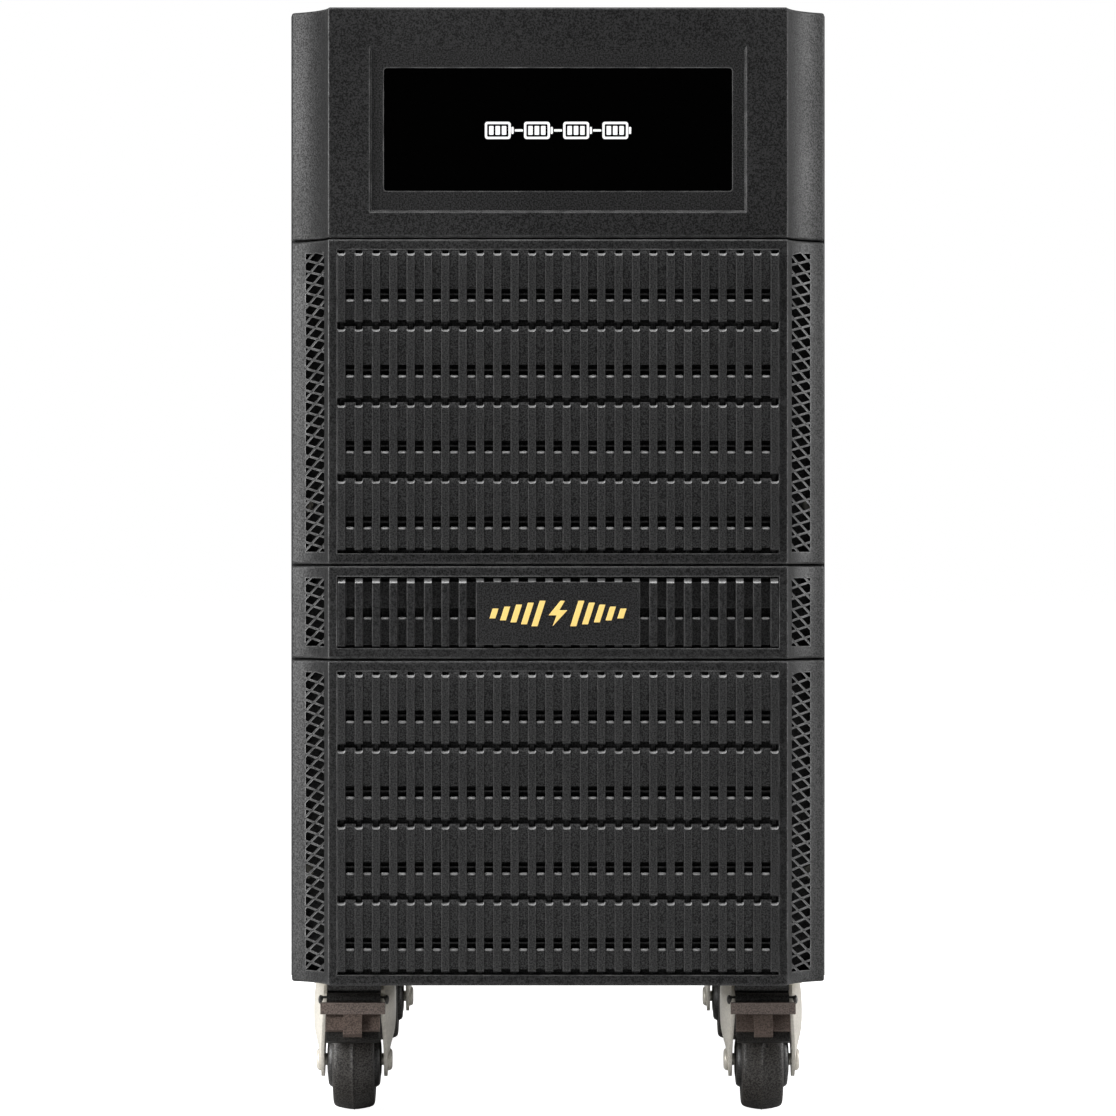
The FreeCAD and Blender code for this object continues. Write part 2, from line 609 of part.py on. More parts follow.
def bent_cable(points, radius, bend):
    """A cable through the points, with an arc of radius bend at each turn."""
    corners = [Vector(*p) for p in points]
    edges, last = [], corners[0]
    for before, at, after in zip(corners, corners[1:], corners[2:]):
        into, out = (at - before).normalize(), (after - at).normalize()
        half_turn = into.getAngle(out) / 2
        back = bend * math.tan(half_turn)
        start, end = at - into * back, at + out * back
        inward = (out - into).normalize()
        middle = at + inward * (bend / math.cos(half_turn) - bend)
        edges.append(Part.LineSegment(last, start).toShape())
        edges.append(Part.Arc(start, middle, end).toShape())
        last = end
    edges.append(Part.LineSegment(last, corners[-1]).toShape())
    section = Part.Wire(Part.makeCircle(radius, corners[0], corners[1] - corners[0]))
    return Part.Wire(edges).makePipeShell([section], True, False)


def build_batteries():
    tabs, links, bars = [], [], []
    for k in range(BANK_COUNT):
        z = SHELF_Z + k * BANK_PITCH
        blocks = [block(x, y, z, size_x, size_y) for x, y, size_x, size_y in block_places()]
        export(f"battery_bank_{k + 1}", Part.makeCompound(blocks))
        more_tabs, more_links = terminals_and_links(z)
        tabs += more_tabs
        links += more_links
        bars += hold_down_bars(z)
    export("battery_terminals", Part.makeCompound(tabs))
    export("series_links", Part.makeCompound(links))
    export("bank_hold_downs", Part.makeCompound(bars))


# ---------------------------------------------------------------- rear fittings and wiring
TRUNNION_RADIUS = 2.0


def breaker_body():
    """A two-pole breaker on its side: its nose comes through the rear panel, with a cavity for the toggle."""
    y0 = PANEL_REAR - 58.0
    z0, z1 = TERMINAL_Z - BREAKER_HALF_Z, TERMINAL_Z + BREAKER_HALF_Z
    body = box(BREAKER_X - BREAKER_HALF_X, BREAKER_X + BREAKER_HALF_X, y0, PANEL_REAR - 2.0, z0, z1)
    nose = box(BREAKER_X - NOSE_HALF_X, BREAKER_X + NOSE_HALF_X, PANEL_REAR - 3.0, CHASSIS_REAR_Y + 5.0, z0, z1)
    cavity = rod(8.0, (BREAKER_X, TOGGLE_Y, z0 + 4.0), (BREAKER_X, TOGGLE_Y, z1 - 4.0))
    bearing = rod(TRUNNION_RADIUS + RUN_CLEAR, (BREAKER_X, TOGGLE_Y, z0 + 0.9), (BREAKER_X, TOGGLE_Y, z1 - 0.9))
    return body.fuse(nose).removeSplitter().cut([cavity, bearing])


def breaker_toggle():
    """A drum with a paddle and a trunnion at each end, turned towards the ON side."""
    z0, z1 = TERMINAL_Z - BREAKER_HALF_Z + 4.3, TERMINAL_Z + BREAKER_HALF_Z - 4.3
    drum = rod(7.6, (BREAKER_X, TOGGLE_Y, z0), (BREAKER_X, TOGGLE_Y, z1))
    paddle = box(BREAKER_X - 1.8, BREAKER_X + 1.8, TOGGLE_Y + 5.0, TOGGLE_Y + 12.0, z0 + 3.0, z1 - 3.0)
    trunnions = rod(TRUNNION_RADIUS, (BREAKER_X, TOGGLE_Y, z0 - 3.2), (BREAKER_X, TOGGLE_Y, z1 + 3.2))
    toggle = union([drum, paddle, trunnions])
    toggle.rotate(Vector(BREAKER_X, TOGGLE_Y, 0), Vector(0, 0, 1), -35.0)
    return toggle


def dc_outlets():
    """Two panel sockets, each an open-mouthed housing with a flange against the rear panel."""
    sockets = []
    for x in OUTLET_X:
        housing = box(x - OUTLET_HALF_X, x + OUTLET_HALF_X, PANEL_REAR - 14.0, REAR_Y,
                      TERMINAL_Z - OUTLET_HALF_Z, TERMINAL_Z + OUTLET_HALF_Z)
        flange = box(x - 30.0, x + 30.0, CHASSIS_REAR_Y, CHASSIS_REAR_Y + 2.5,
                     TERMINAL_Z - OUTLET_HALF_Z - 3.0, TERMINAL_Z + OUTLET_HALF_Z + 3.0)
        mouth = box(x - OUTLET_HALF_X + 3.0, x + OUTLET_HALF_X - 3.0, REAR_Y - 18.0, REAR_Y + 1.0,
                    TERMINAL_Z - OUTLET_HALF_Z + 3.0, TERMINAL_Z + OUTLET_HALF_Z - 3.0)
        rivets = [rod(2.6, (x + s * 26.0, CHASSIS_REAR_Y + 1, TERMINAL_Z),
                      (x + s * 26.0, CHASSIS_REAR_Y + 3.3, TERMINAL_Z)) for s in (-1, 1)]
        blades = [box(x + s * 9.0 - 4.1, x + s * 9.0 + 4.1, PANEL_REAR - 15.0, REAR_Y - 17.0,
                      TERMINAL_Z - 1.1, TERMINAL_Z + 1.1) for s in (-1, 1)]
        sockets.append(housing.fuse(flange).removeSplitter().cut([mouth] + blades).fuse(rivets))
    return Part.makeCompound(sockets)


def outlet_contacts():
    """Two flat contacts in each socket, standing up from its floor."""
    return Part.makeCompound([
        box(x + s * 9.0 - 4.0, x + s * 9.0 + 4.0, PANEL_REAR - 22.0, REAR_Y - 10.0,
            TERMINAL_Z - 1.0, TERMINAL_Z + 1.0)
        for x in OUTLET_X for s in (-1, 1)
    ])


def hexagon(x, z, across, y0, y1):
    corner = across / math.sqrt(3)
    points = [(x + corner * math.cos(math.radians(60 * i)), y0, z + corner * math.sin(math.radians(60 * i)))
              for i in range(6)]
    return prism(points, "y", y1 - y0)


def ground_stud():
    """An earth stud: its flat head is inside the rear panel, its nut outside."""
    nut_y = CHASSIS_REAR_Y + 4.0
    free_end = rod(STUD_RADIUS, (STUD_X, nut_y, STUD_Z), (STUD_X, REAR_Y, STUD_Z))
    shank = rod(STUD_SHANK, (STUD_X, PANEL_REAR - 2.0, STUD_Z), (STUD_X, nut_y + 1.0, STUD_Z))
    head = rod(5.5, (STUD_X, PANEL_REAR - 3.0, STUD_Z), (STUD_X, PANEL_REAR, STUD_Z))
    nut = hexagon(STUD_X, STUD_Z, 10.0, CHASSIS_REAR_Y, nut_y)
    bore = rod(STUD_SHANK + 0.05, (STUD_X, PANEL_REAR, STUD_Z), (STUD_X, REAR_Y, STUD_Z))
    return Part.makeCompound([union([free_end, shank, head]), nut.cut(bore)])


FUSE_Y = 95.0
LID_TOP = SHELF_Z + (BANK_COUNT - 1) * BANK_PITCH + BLOCK_TALL  # of the top bank
LEAD_Z = LID_TOP + 12.0


def fuse_block():
    """A fuse in clips on its base, bolted above the top bank."""
    base = box(BREAKER_X - 12.0, BREAKER_X + 12.0, FUSE_Y - 30.0, FUSE_Y + 30.0, LID_TOP, LEAD_Z - 4.2)
    clips = [box(BREAKER_X - 7.0, BREAKER_X + 7.0, y, y + 6.0, LEAD_Z - 5.5, LEAD_Z + 1.0)
             for y in (FUSE_Y - 20.0, FUSE_Y + 14.0)]
    fuse = rod(5.0, (BREAKER_X, FUSE_Y - 25.0, LEAD_Z), (BREAKER_X, FUSE_Y + 25.0, LEAD_Z))
    return union([base, fuse] + clips)


def output_cables():
    """The leads above the top bank: its two end terminals go through the fuse and straight to the breaker."""
    radius, bend, low_z = 3.0, 10.0, LID_TOP + 3.2
    breaker_y = PANEL_REAR - 58.0
    first_x, first_y = tab_places()[0][0]
    first_x += TAB_WIDE / 2
    last_x, last_y = tab_places()[9][1]
    last_y += TAB_THICK / 2
    turn_y, negative_x = 165.0, BREAKER_X + 24.0
    paths = [
        [(first_x, first_y, low_z), (first_x + 12, first_y, low_z), (BREAKER_X, first_y, LEAD_Z),
         (BREAKER_X, FUSE_Y - 25.0, LEAD_Z)],
        [(BREAKER_X, FUSE_Y + 25.0, LEAD_Z), (BREAKER_X, breaker_y, LEAD_Z)],
        [(last_x, last_y, low_z), (last_x, last_y + 14, low_z), (last_x, last_y + 28, LEAD_Z),
         (last_x, turn_y, LEAD_Z), (negative_x, turn_y, LEAD_Z), (negative_x, breaker_y, LEAD_Z)],
    ]
    return Part.makeCompound([bent_cable(path, radius, bend) for path in paths])


def build_rear():
    export("breaker_body", breaker_body())
    export("breaker_toggle", breaker_toggle())
    export("dc_outlets", dc_outlets())
    export("outlet_contacts", outlet_contacts())
    export("ground_stud", ground_stud())
    export("fuse_block", fuse_block())
    export("output_cables", output_cables())


# ---------------------------------------------------------------- castors
def hexagon_up(x, y, across, z0, z1):
    corner = across / math.sqrt(3)
    points = [(x + corner * math.cos(math.radians(60 * i)), y + corner * math.sin(math.radians(60 * i)), z0)
              for i in range(6)]
    return prism(points, "z", z1 - z0)


def castor_bolts():
    """A bolt up through each castor plate's corners and the base tray, with a nut inside."""
    solids = []
    for x, y in bolt_places():
        head = hexagon_up(x, y, 8.0, PLATE_Z - 3.5, PLATE_Z)
        solids.append(head.fuse(rod(2.5, (x, y, PLATE_Z), (x, y, BASE_Z + BASE_THICK + 4.4))))
        nut = hexagon_up(x, y, 8.0, BASE_Z + BASE_THICK, BASE_Z + BASE_THICK + 4.0)
        solids.append(nut.cut(rod(2.52, (x, y, BASE_Z), (x, y, BASE_Z + 8.0))))
    return Part.makeCompound(solids)


CROWN_TOP = PLATE_Z - 3.5
CROWN_BOTTOM = 61.5


def castor_plate():
    """The top plate with its race and king pin, centred on the swivel axis."""
    plate = box(-25.0, 25.0, -25.0, 25.0, PLATE_Z, BASE_Z)
    plate = plate.makeFillet(5.0, [e for e in plate.Edges if abs(e.tangentAt(0).z) > 0.99])
    race = Part.makeCone(15.0, 18.5, PLATE_Z - CROWN_TOP - 0.2, Vector(0, 0, CROWN_TOP + 0.2))
    pin = rod(4.5, (0, 0, 58.5), (0, 0, PLATE_Z))
    pin_head = rod(7.5, (0, 0, 58.5), (0, 0, CROWN_BOTTOM - 0.4))
    holes = [rod(2.6, (dx, dy, PLATE_Z - 1), (dx, dy, BASE_Z + 1))
             for dx in (-BOLT_OFFSET, BOLT_OFFSET) for dy in (-BOLT_OFFSET, BOLT_OFFSET)]
    return union([plate, race, pin, pin_head]).cut(holes)


# fork leg sections from the crown down: height, x of the edges, x of the middle, front y, rear y
LEG_SECTIONS = [
    (64.5, 15.6, 21.0, -16.0, 14.2),
    (56.0, 15.6, 21.3, -33.5, 13.0),
    (48.0, 15.7, 21.0, -34.0, 8.0),
    (40.0, 16.0, 19.6, -30.5, 1.0),
    (31.0, 16.4, 17.2, -28.0, -7.0),
    (16.5, 16.4, 16.5, -23.5, -12.5),
]
SEAT_X = 16.4  # the rivet heads seat on flats this far from the wheel's centre
GUARD_HALF, GUARD_BOTTOM = 14.2, 59.6


def leg_section(z, edge_x, middle_x, y0, y1):
    """A bowed slice of the right leg, as a closed wire."""
    middle_y = (y0 + y1) / 2
    outer = [Vector(edge_x, y0, z), Vector(middle_x, middle_y, z), Vector(edge_x, y1, z)]
    inner = [Vector(p.x - LEG_THICK, p.y, z) for p in outer]
    curves = []
    for points in (outer, list(reversed(inner))):
        spline = Part.BSplineCurve()
        spline.interpolate(points)
        curves.append(spline.toShape())
    ends = [Part.makeLine(outer[2], inner[2]), Part.makeLine(inner[0], outer[0])]
    return Part.Wire([curves[0], ends[0], curves[1], ends[1]])


def castor_fork(braked):
    """A pressed fork: a crown under the race and two bowed legs that carry the axle ahead of the swivel.

    A braked one has a guard in front of its crown, over the lever.
    """
    crown = rod(21.0, (0, 0, CROWN_BOTTOM), (0, 0, CROWN_TOP))
    crown = crown.makeFillet(2.0, [e for e in crown.Edges if e.Length > 60 and e.CenterOfMass.z > CROWN_TOP - 1])
    leg = Part.makeLoft([leg_section(*s) for s in LEG_SECTIONS], True, True)
    shapes = [crown, leg, mirrored(leg)]
    if braked:
        shapes.append(box(-GUARD_HALF, GUARD_HALF, -26.0, -15.0, GUARD_BOTTOM, GUARD_BOTTOM + 4.4))
    fork = union(shapes)
    cuts = [
        rod(4.5 + RUN_CLEAR, (0, 0, CROWN_BOTTOM - 1), (0, 0, CROWN_TOP + 1)),
        rod(AXLE_RADIUS, (-30, -TRAIL, WHEEL_RADIUS), (30, -TRAIL, WHEEL_RADIUS)),
    ]
    cuts += [rod(5.8, (s * SEAT_X, -TRAIL, WHEEL_RADIUS), (s * 22, -TRAIL, WHEEL_RADIUS)) for s in (-1, 1)]
    if braked:
        cuts.append(rod(PIVOT_RADIUS, (-30, PIVOT_Y, PIVOT_Z), (30, PIVOT_Y, PIVOT_Z)))
    return fork.cut(cuts)


def castor_axle():
    """A rivet through the legs, domed at both ends."""
    pin = rod(AXLE_RADIUS, (-SEAT_X - 0.3, -TRAIL, WHEEL_RADIUS), (SEAT_X + 0.3, -TRAIL, WHEEL_RADIUS))
    end_x, heads = SEAT_X + 2.4, []
    for side in (-1, 1):
        head = rod(5.6, (side * SEAT_X, -TRAIL, WHEEL_RADIUS), (side * end_x, -TRAIL, WHEEL_RADIUS))
        rim = [e for e in head.Edges if abs(abs(e.CenterOfMass.x) - end_x) < 0.01 and e.Length > 10]
        heads.append(head.makeFillet(1.9, rim))
    return union([pin] + heads)


def turned(points, y, z):
    """A solid of revolution about the wheel's axle from (radius, x) points."""
    outline = [Vector(x, y, z + radius) for radius, x in points]
    face = Part.Face(Part.makePolygon(outline + outline[:1]))
    return face.revolve(Vector(0, y, z), Vector(1, 0, 0), 360)


def castor_tyre():
    """A crowned tread, flat in the middle, chamfered at the shoulders."""
    inner = 17.0
    half = [(25.0, 2.4), (23.6, TREAD_HALF - 0.9), (22.8, TREAD_HALF), (inner, TREAD_HALF)]
    points = half + [(radius, -x) for radius, x in reversed(half)]
    return turned(points, -TRAIL, WHEEL_RADIUS)


def castor_hub():
    """The wheel's body: a web with a wide boss and dished side discs."""
    bore = AXLE_RADIUS + RUN_CLEAR
    half = [(17.0, TREAD_HALF - 0.6), (14.4, TREAD_HALF - 0.6), (13.4, 12.2), (9.0, HUB_HALF), (bore, HUB_HALF)]
    points = half + [(radius, -x) for radius, x in reversed(half)]
    return turned(points, -TRAIL, WHEEL_RADIUS)


def arc_points(radius, start, end, steps):
    """Points round the wheel's centre, at angles above the forward horizontal, as (y, z)."""
    angles = [math.radians(start + (end - start) * i / steps) for i in range(steps + 1)]
    return [(-TRAIL - radius * math.cos(a), WHEEL_RADIUS + radius * math.sin(a)) for a in angles]


LEVER_HALF = 13.5
SHOE_INNER, LEVER_INNER, LEVER_OUTER = 27.6, 30.8, 33.2


def brake_pedal():
    """A toe lever over the tread: a shoe and a plate curved round the wheel, a bar, a tab, and an eye for the pin."""
    shoe = arc_points(SHOE_INNER, 21.5, 74.0, 8) + arc_points(LEVER_INNER + 0.2, 74.0, 21.5, 8)
    plate = arc_points(LEVER_INNER, 28.6, 66.0, 6) + arc_points(LEVER_OUTER, 66.0, 28.6, 6)
    tab = arc_points(LEVER_INNER, 22.0, 44.0, 4) + arc_points(LEVER_OUTER + 2.6, 44.0, 22.0, 4)
    bar = [(-44.0, 49.2), (-44.0, 55.2), (-39.0, 55.2), (-39.0, 49.2)]
    shapes = [
        profile_x(shoe, -LEVER_HALF + 0.4, LEVER_HALF - 0.4),
        profile_x(plate, -LEVER_HALF, LEVER_HALF),
        profile_x(tab, -4.6, 4.6),
        profile_x(bar, -16.0, 16.0),
        rod(3.5, (-LEVER_HALF, PIVOT_Y, PIVOT_Z), (LEVER_HALF, PIVOT_Y, PIVOT_Z)),
    ]
    return union(shapes).cut(rod(PIVOT_RADIUS + RUN_CLEAR, (-30, PIVOT_Y, PIVOT_Z), (30, PIVOT_Y, PIVOT_Z)))


def pedal_pin():
    """The lever's pin, pressed into both legs of the fork."""
    return rod(PIVOT_RADIUS, (-18.6, PIVOT_Y, PIVOT_Z), (18.6, PIVOT_Y, PIVOT_Z))


def build_castors():
    export("castor_bolts", castor_bolts())
    for name, (x, y) in castor_places().items():
        braked = name.startswith("front")
        pieces = {"plate": castor_plate(), "fork": castor_fork(braked), "axle": castor_axle(),
                  "tyre": castor_tyre(), "hub": castor_hub()}
        if braked:
            pieces["brake_pedal"] = brake_pedal()
            pieces["pedal_pin"] = pedal_pin()
        for piece, shape in pieces.items():
            export(f"{name}_{piece}", moved(shape, x, y, 0))


os.makedirs("parts", exist_ok=True)
build_fascia()
build_chassis()
build_batteries()
build_rear()
build_castors()
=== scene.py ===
"""Looks for the tower battery cabinet, in the CAD frame: the front faces -Y and the floor is at z = 0.

Blender works in metres. The meshes below are written in millimetres and scaled once, in to_metres."""

import math

import bmesh
import bpy
from mathutils import Matrix, Vector


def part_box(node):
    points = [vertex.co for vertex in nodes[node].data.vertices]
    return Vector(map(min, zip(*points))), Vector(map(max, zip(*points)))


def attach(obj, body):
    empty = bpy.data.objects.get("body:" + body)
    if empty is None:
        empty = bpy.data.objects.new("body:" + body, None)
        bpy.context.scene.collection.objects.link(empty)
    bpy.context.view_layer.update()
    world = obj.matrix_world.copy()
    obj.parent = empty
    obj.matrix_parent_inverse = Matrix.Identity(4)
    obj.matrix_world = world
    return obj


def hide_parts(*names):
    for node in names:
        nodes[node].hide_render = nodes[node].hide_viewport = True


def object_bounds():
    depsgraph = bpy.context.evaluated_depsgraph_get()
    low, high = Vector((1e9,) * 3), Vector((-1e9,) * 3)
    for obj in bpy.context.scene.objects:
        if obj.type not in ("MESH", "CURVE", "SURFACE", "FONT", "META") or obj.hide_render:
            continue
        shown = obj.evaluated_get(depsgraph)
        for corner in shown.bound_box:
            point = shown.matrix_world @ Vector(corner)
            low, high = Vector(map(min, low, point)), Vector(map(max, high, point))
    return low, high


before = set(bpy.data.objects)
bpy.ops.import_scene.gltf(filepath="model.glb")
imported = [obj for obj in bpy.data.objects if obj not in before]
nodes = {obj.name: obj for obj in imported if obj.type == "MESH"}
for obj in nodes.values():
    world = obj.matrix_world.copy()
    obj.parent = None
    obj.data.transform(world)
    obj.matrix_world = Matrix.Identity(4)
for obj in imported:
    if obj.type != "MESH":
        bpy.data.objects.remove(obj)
cad_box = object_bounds()

MM = 0.001

# the fascia's layout, as the CAD has it
RIB_COUNT = 26
RIB_PITCH = 8.4
RIB_WIDTH = 3.9
GRILLE_HALF = (RIB_PITCH * (RIB_COUNT - 1) + RIB_WIDTH) / 2
GROOVE = RIB_PITCH - RIB_WIDTH
ROW_COUNT = 4
RIM_OVERLAP = 2.0
RIM_FRONT, RIM_BACK = 2.2, 3.7  # behind the face
RIB_PROUD = 1.8
FACE_Y = cad_box[0].y / MM + RIB_PROUD
LOUVRE_DEPTH, STRIP_LOUVRE_DEPTH = 5.4, 6.8  # from the face to the back of an insert

# castors, about the swivel axis
TRAIL = 18.0
WHEEL_RADIUS = 25.0
CASTORS = ("front_left", "front_right", "rear_left", "rear_right")


# ---------------------------------------------------------------- materials
def material(name):
    """An empty node material, with its tree's nodes, links and shader."""
    mat = bpy.data.materials.new(name)
    mat.use_nodes = True
    tree = mat.node_tree
    return mat, tree.nodes, tree.links, tree.nodes["Principled BSDF"]


def noise(nodes_, links, coords, size_mm, detail=2.0, roughness=0.5):
    """Noise with features of about size_mm."""
    tex = nodes_.new("ShaderNodeTexNoise")
    tex.inputs["Scale"].default_value = 1.0 / (size_mm * MM)
    tex.inputs["Detail"].default_value = detail
    tex.inputs["Roughness"].default_value = roughness
    links.new(coords, tex.inputs["Vector"])
    return tex.outputs["Fac"]


def remap(nodes_, links, value, low, high, to_low, to_high):
    """The value stretched from one range to another, and held at its ends."""
    node = nodes_.new("ShaderNodeMapRange")
    for socket, number in (("From Min", low), ("From Max", high), ("To Min", to_low), ("To Max", to_high)):
        node.inputs[socket].default_value = number
    links.new(value, node.inputs["Value"])
    return node.outputs["Result"]


def mix_colour(nodes_, links, factor, a, b):
    """Colour a where the factor is 0 and colour b where it is 1, each a constant or a socket."""
    node = nodes_.new("ShaderNodeMix")
    node.data_type = "RGBA"
    factor_in, colour_a, colour_b = node.inputs[0], node.inputs[6], node.inputs[7]
    for socket, value in ((colour_a, a), (colour_b, b)):
        if isinstance(value, bpy.types.NodeSocket):
            links.new(value, socket)
        else:
            socket.default_value = (*value, 1.0)
    links.new(factor, factor_in)
    return node.outputs[2]


EDGE_RADIUS = 0.9  # how far the lightened edges reach, partly wear and partly a painted highlight
GLOSS_DRIFT = 0.045  # the most that roughness drifts over a surface, each way


def edge_mask(nodes_, links, radius_mm):
    """Near 1 on convex and concave edges and 0 on flats, from how far a rounded normal turns."""
    bevel = nodes_.new("ShaderNodeBevel")
    bevel.samples = 3
    bevel.inputs["Radius"].default_value = radius_mm * MM
    geometry = nodes_.new("ShaderNodeNewGeometry")
    dot = nodes_.new("ShaderNodeVectorMath")
    dot.operation = "DOT_PRODUCT"
    links.new(bevel.outputs["Normal"], dot.inputs[0])
    links.new(geometry.outputs["Normal"], dot.inputs[1])
    return remap(nodes_, links, dot.outputs["Value"], 0.998, 0.9, 0.0, 1.0)


def surface(name, colour, rough, grain_mm, grain_depth_mm, speckle, mottle, metallic=0.0, specular=0.5,
            scuff_and_highlight=0.0, scuff_and_highlight_colour=None):
    """A moulded, painted or plated surface: fine grain in colour, gloss and bump, slow changes, and edges
    lightened partly as wear and partly as a painted highlight.

    speckle and mottle are the share by which the grain and the slow changes alter the colour."""
    mat, nodes_, links, bsdf = material(name)
    coords = nodes_.new("ShaderNodeTexCoord").outputs["Object"]
    grain = noise(nodes_, links, coords, grain_mm, 3.0, 0.72)
    patches = noise(nodes_, links, coords, 60.0, 2.0)
    dark = [c * (1 - speckle) for c in colour]
    light = [min(1.0, c * (1 + speckle)) for c in colour]
    speck = remap(nodes_, links, grain, 0.42, 0.58, 0.0, 1.0)
    base = mix_colour(nodes_, links, speck, dark, light)
    faded = remap(nodes_, links, patches, 0.3, 0.7, 0.0, mottle)
    base = mix_colour(nodes_, links, faded, base, [min(1.0, c * 1.8 + 0.001) for c in colour])
    # Edges are lightened towards a brighter colour: partly wear, partly a painted highlight.
    if scuff_and_highlight > 0:
        edges = edge_mask(nodes_, links, EDGE_RADIUS)
        highlight_and_scuff = noise(nodes_, links, coords, 6.0, 4.0)
        amount = nodes_.new("ShaderNodeMath")
        amount.operation = "MULTIPLY"
        links.new(edges, amount.inputs[0])
        links.new(remap(nodes_, links, highlight_and_scuff, 0.35, 0.65, 0.3 * scuff_and_highlight, scuff_and_highlight), amount.inputs[1])
        scuffed_and_lit = scuff_and_highlight_colour or [c * 2.2 + 0.02 for c in colour]
        base = mix_colour(nodes_, links, amount.outputs[0], base, scuffed_and_lit)
    links.new(base, bsdf.inputs["Base Color"])
    drift = min(GLOSS_DRIFT, 0.45 * mottle)
    links.new(remap(nodes_, links, patches, 0.3, 0.7, rough - drift, rough + drift), bsdf.inputs["Roughness"])
    bump = nodes_.new("ShaderNodeBump")
    bump.inputs["Strength"].default_value = 1.0
    bump.inputs["Distance"].default_value = grain_depth_mm * MM
    links.new(grain, bump.inputs["Height"])
    links.new(bump.outputs["Normal"], bsdf.inputs["Normal"])
    bsdf.inputs["Metallic"].default_value = metallic
    least, most = specular * (1 - speckle / 2), specular * (1 + speckle / 2)
    links.new(remap(nodes_, links, grain, 0.42, 0.58, least, most), bsdf.inputs["Specular IOR Level"])
    return mat


MOULD_GRAIN = {"grain_mm": 0.75, "grain_depth_mm": 0.05, "speckle": 0.85, "mottle": 0.1}
# A light grey painted on rib tops, ledges and fascia edges as a highlight; on the fascia edges it is partly
# wear as well.
PAINTED_HIGHLIGHT_GREY = (0.2, 0.2, 0.2)

# in each row: colour, roughness, size and depth of the grain in millimetres, speckle and mottle
# The fascia and insert edges lighten towards the light grey above: partly wear, partly a painted highlight on
# seams and front edges.
FASCIA = surface("fascia_grain", (0.0068, 0.0068, 0.007), 0.5, specular=0.32, scuff_and_highlight=0.85, scuff_and_highlight_colour=PAINTED_HIGHLIGHT_GREY,
                 **MOULD_GRAIN)
INSERT = surface("louvre_grain", (0.0105, 0.0105, 0.0107), 0.5, specular=0.36, scuff_and_highlight=0.3, scuff_and_highlight_colour=PAINTED_HIGHLIGHT_GREY,
                 **MOULD_GRAIN)
# Twice as light as the insert it belongs to: painted fill light on the blades, which sit in shade between the
# ribs.
BLADE = surface("blade_painted_fill", (0.021, 0.021, 0.0214), 0.5, specular=0.38, **MOULD_GRAIN)
STRIP_INSERT = surface("strip_grain", (0.0065, 0.0065, 0.0068), 0.52, specular=0.32, scuff_and_highlight=0.3,
                       scuff_and_highlight_colour=PAINTED_HIGHLIGHT_GREY, **MOULD_GRAIN)
# Rib tops and ledges take this light grey: a painted highlight where the top light falls.
PAINTED_HIGHLIGHT = surface("painted_highlight_edge", PAINTED_HIGHLIGHT_GREY, 0.42, 1.0, 0.01, 0.2, 0.1)
WINDOW = surface("window_gloss", (0.0002, 0.0002, 0.0002), 0.1, 3.0, 0.0003, 0.1, 0.0, specular=0.05)
PRINT_WHITE = surface("print_white", (0.86, 0.86, 0.86), 0.5, 0.3, 0.003, 0.04, 0.03)
BADGE_YELLOW = surface("badge_yellow", (0.86, 0.6, 0.185), 0.4, 0.4, 0.004, 0.05, 0.04)
PAINT = surface("powder_coat", (0.0175, 0.0175, 0.018), 0.42, 0.8, 0.04, 0.5, 0.02, scuff_and_highlight=0.4)
SHELF = surface("shelf_steel", (0.2, 0.2, 0.205), 0.55, 0.9, 0.01, 0.12, 0.1, metallic=0.8)
ZINC = surface("bright_zinc", (0.6, 0.565, 0.5), 0.36, 1.2, 0.006, 0.08, 0.12, metallic=0.2)
DARK_STEEL = surface("dark_steel", (0.06, 0.058, 0.055), 0.35, 0.9, 0.01, 0.2, 0.1, metallic=0.6)
BRASS = surface("brass", (0.7, 0.5, 0.22), 0.3, 0.8, 0.004, 0.1, 0.2, metallic=1.0)
BATTERY = surface("battery_case", (0.03, 0.03, 0.033), 0.5, 0.6, 0.02, 0.3, 0.1)
JACKET = surface("cable_jacket", (0.02, 0.02, 0.02), 0.5, 0.8, 0.01, 0.2, 0.1)
BREAKER = surface("breaker_case", (0.05, 0.05, 0.052), 0.45, 0.6, 0.015, 0.25, 0.1, scuff_and_highlight=0.2)
TOGGLE = surface("toggle_gloss", (0.012, 0.012, 0.013), 0.22, 1.5, 0.003, 0.1, 0.05)
SOCKET = surface("socket_plastic", (0.16, 0.16, 0.17), 0.4, 0.6, 0.012, 0.2, 0.1, scuff_and_highlight=0.15)
FILTER = surface("filter_mesh", (0.004, 0.004, 0.004), 0.8, 0.8, 0.2, 0.8, 0.1)
TYRE = surface("tyre_rubber", (0.0168, 0.0143, 0.012), 0.55, 0.8, 0.06, 0.8, 0.3)
HUB = surface("hub_plastic", (0.013, 0.012, 0.011), 0.45, 0.8, 0.04, 0.6, 0.2, scuff_and_highlight=0.1)
PEDAL = surface("pedal_plastic", (0.098, 0.074, 0.063), 0.4, 0.8, 0.03, 0.5, 0.3, scuff_and_highlight=0.25)


# ---------------------------------------------------------------- mesh helpers
def to_metres(bm):
    for v in bm.verts:
        v.co *= MM


FINE_ANGLE, SMOOTH_ANGLE, ROUND_ANGLE = 20.0, 32.0, 38.0  # edges sharper than this many degrees stay sharp


def piece(name, bm, mat, body, replaces=(), smooth=SMOOTH_ANGLE, extra=()):
    """Makes an object of a mesh in millimetres, and rides it on a body. extra holds more materials."""
    bmesh.ops.recalc_face_normals(bm, faces=bm.faces)
    to_metres(bm)
    mesh = bpy.data.meshes.new(name)
    bm.to_mesh(mesh)
    bm.free()
    mesh.materials.append(mat)
    for other in extra:
        mesh.materials.append(other)
    mesh.shade_smooth()
    mesh.set_sharp_from_angle(angle=math.radians(smooth))
    obj = bpy.data.objects.new(name, mesh)
    bpy.context.scene.collection.objects.link(obj)
    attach(obj, body)
    if replaces:
        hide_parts(*replaces)
    return obj


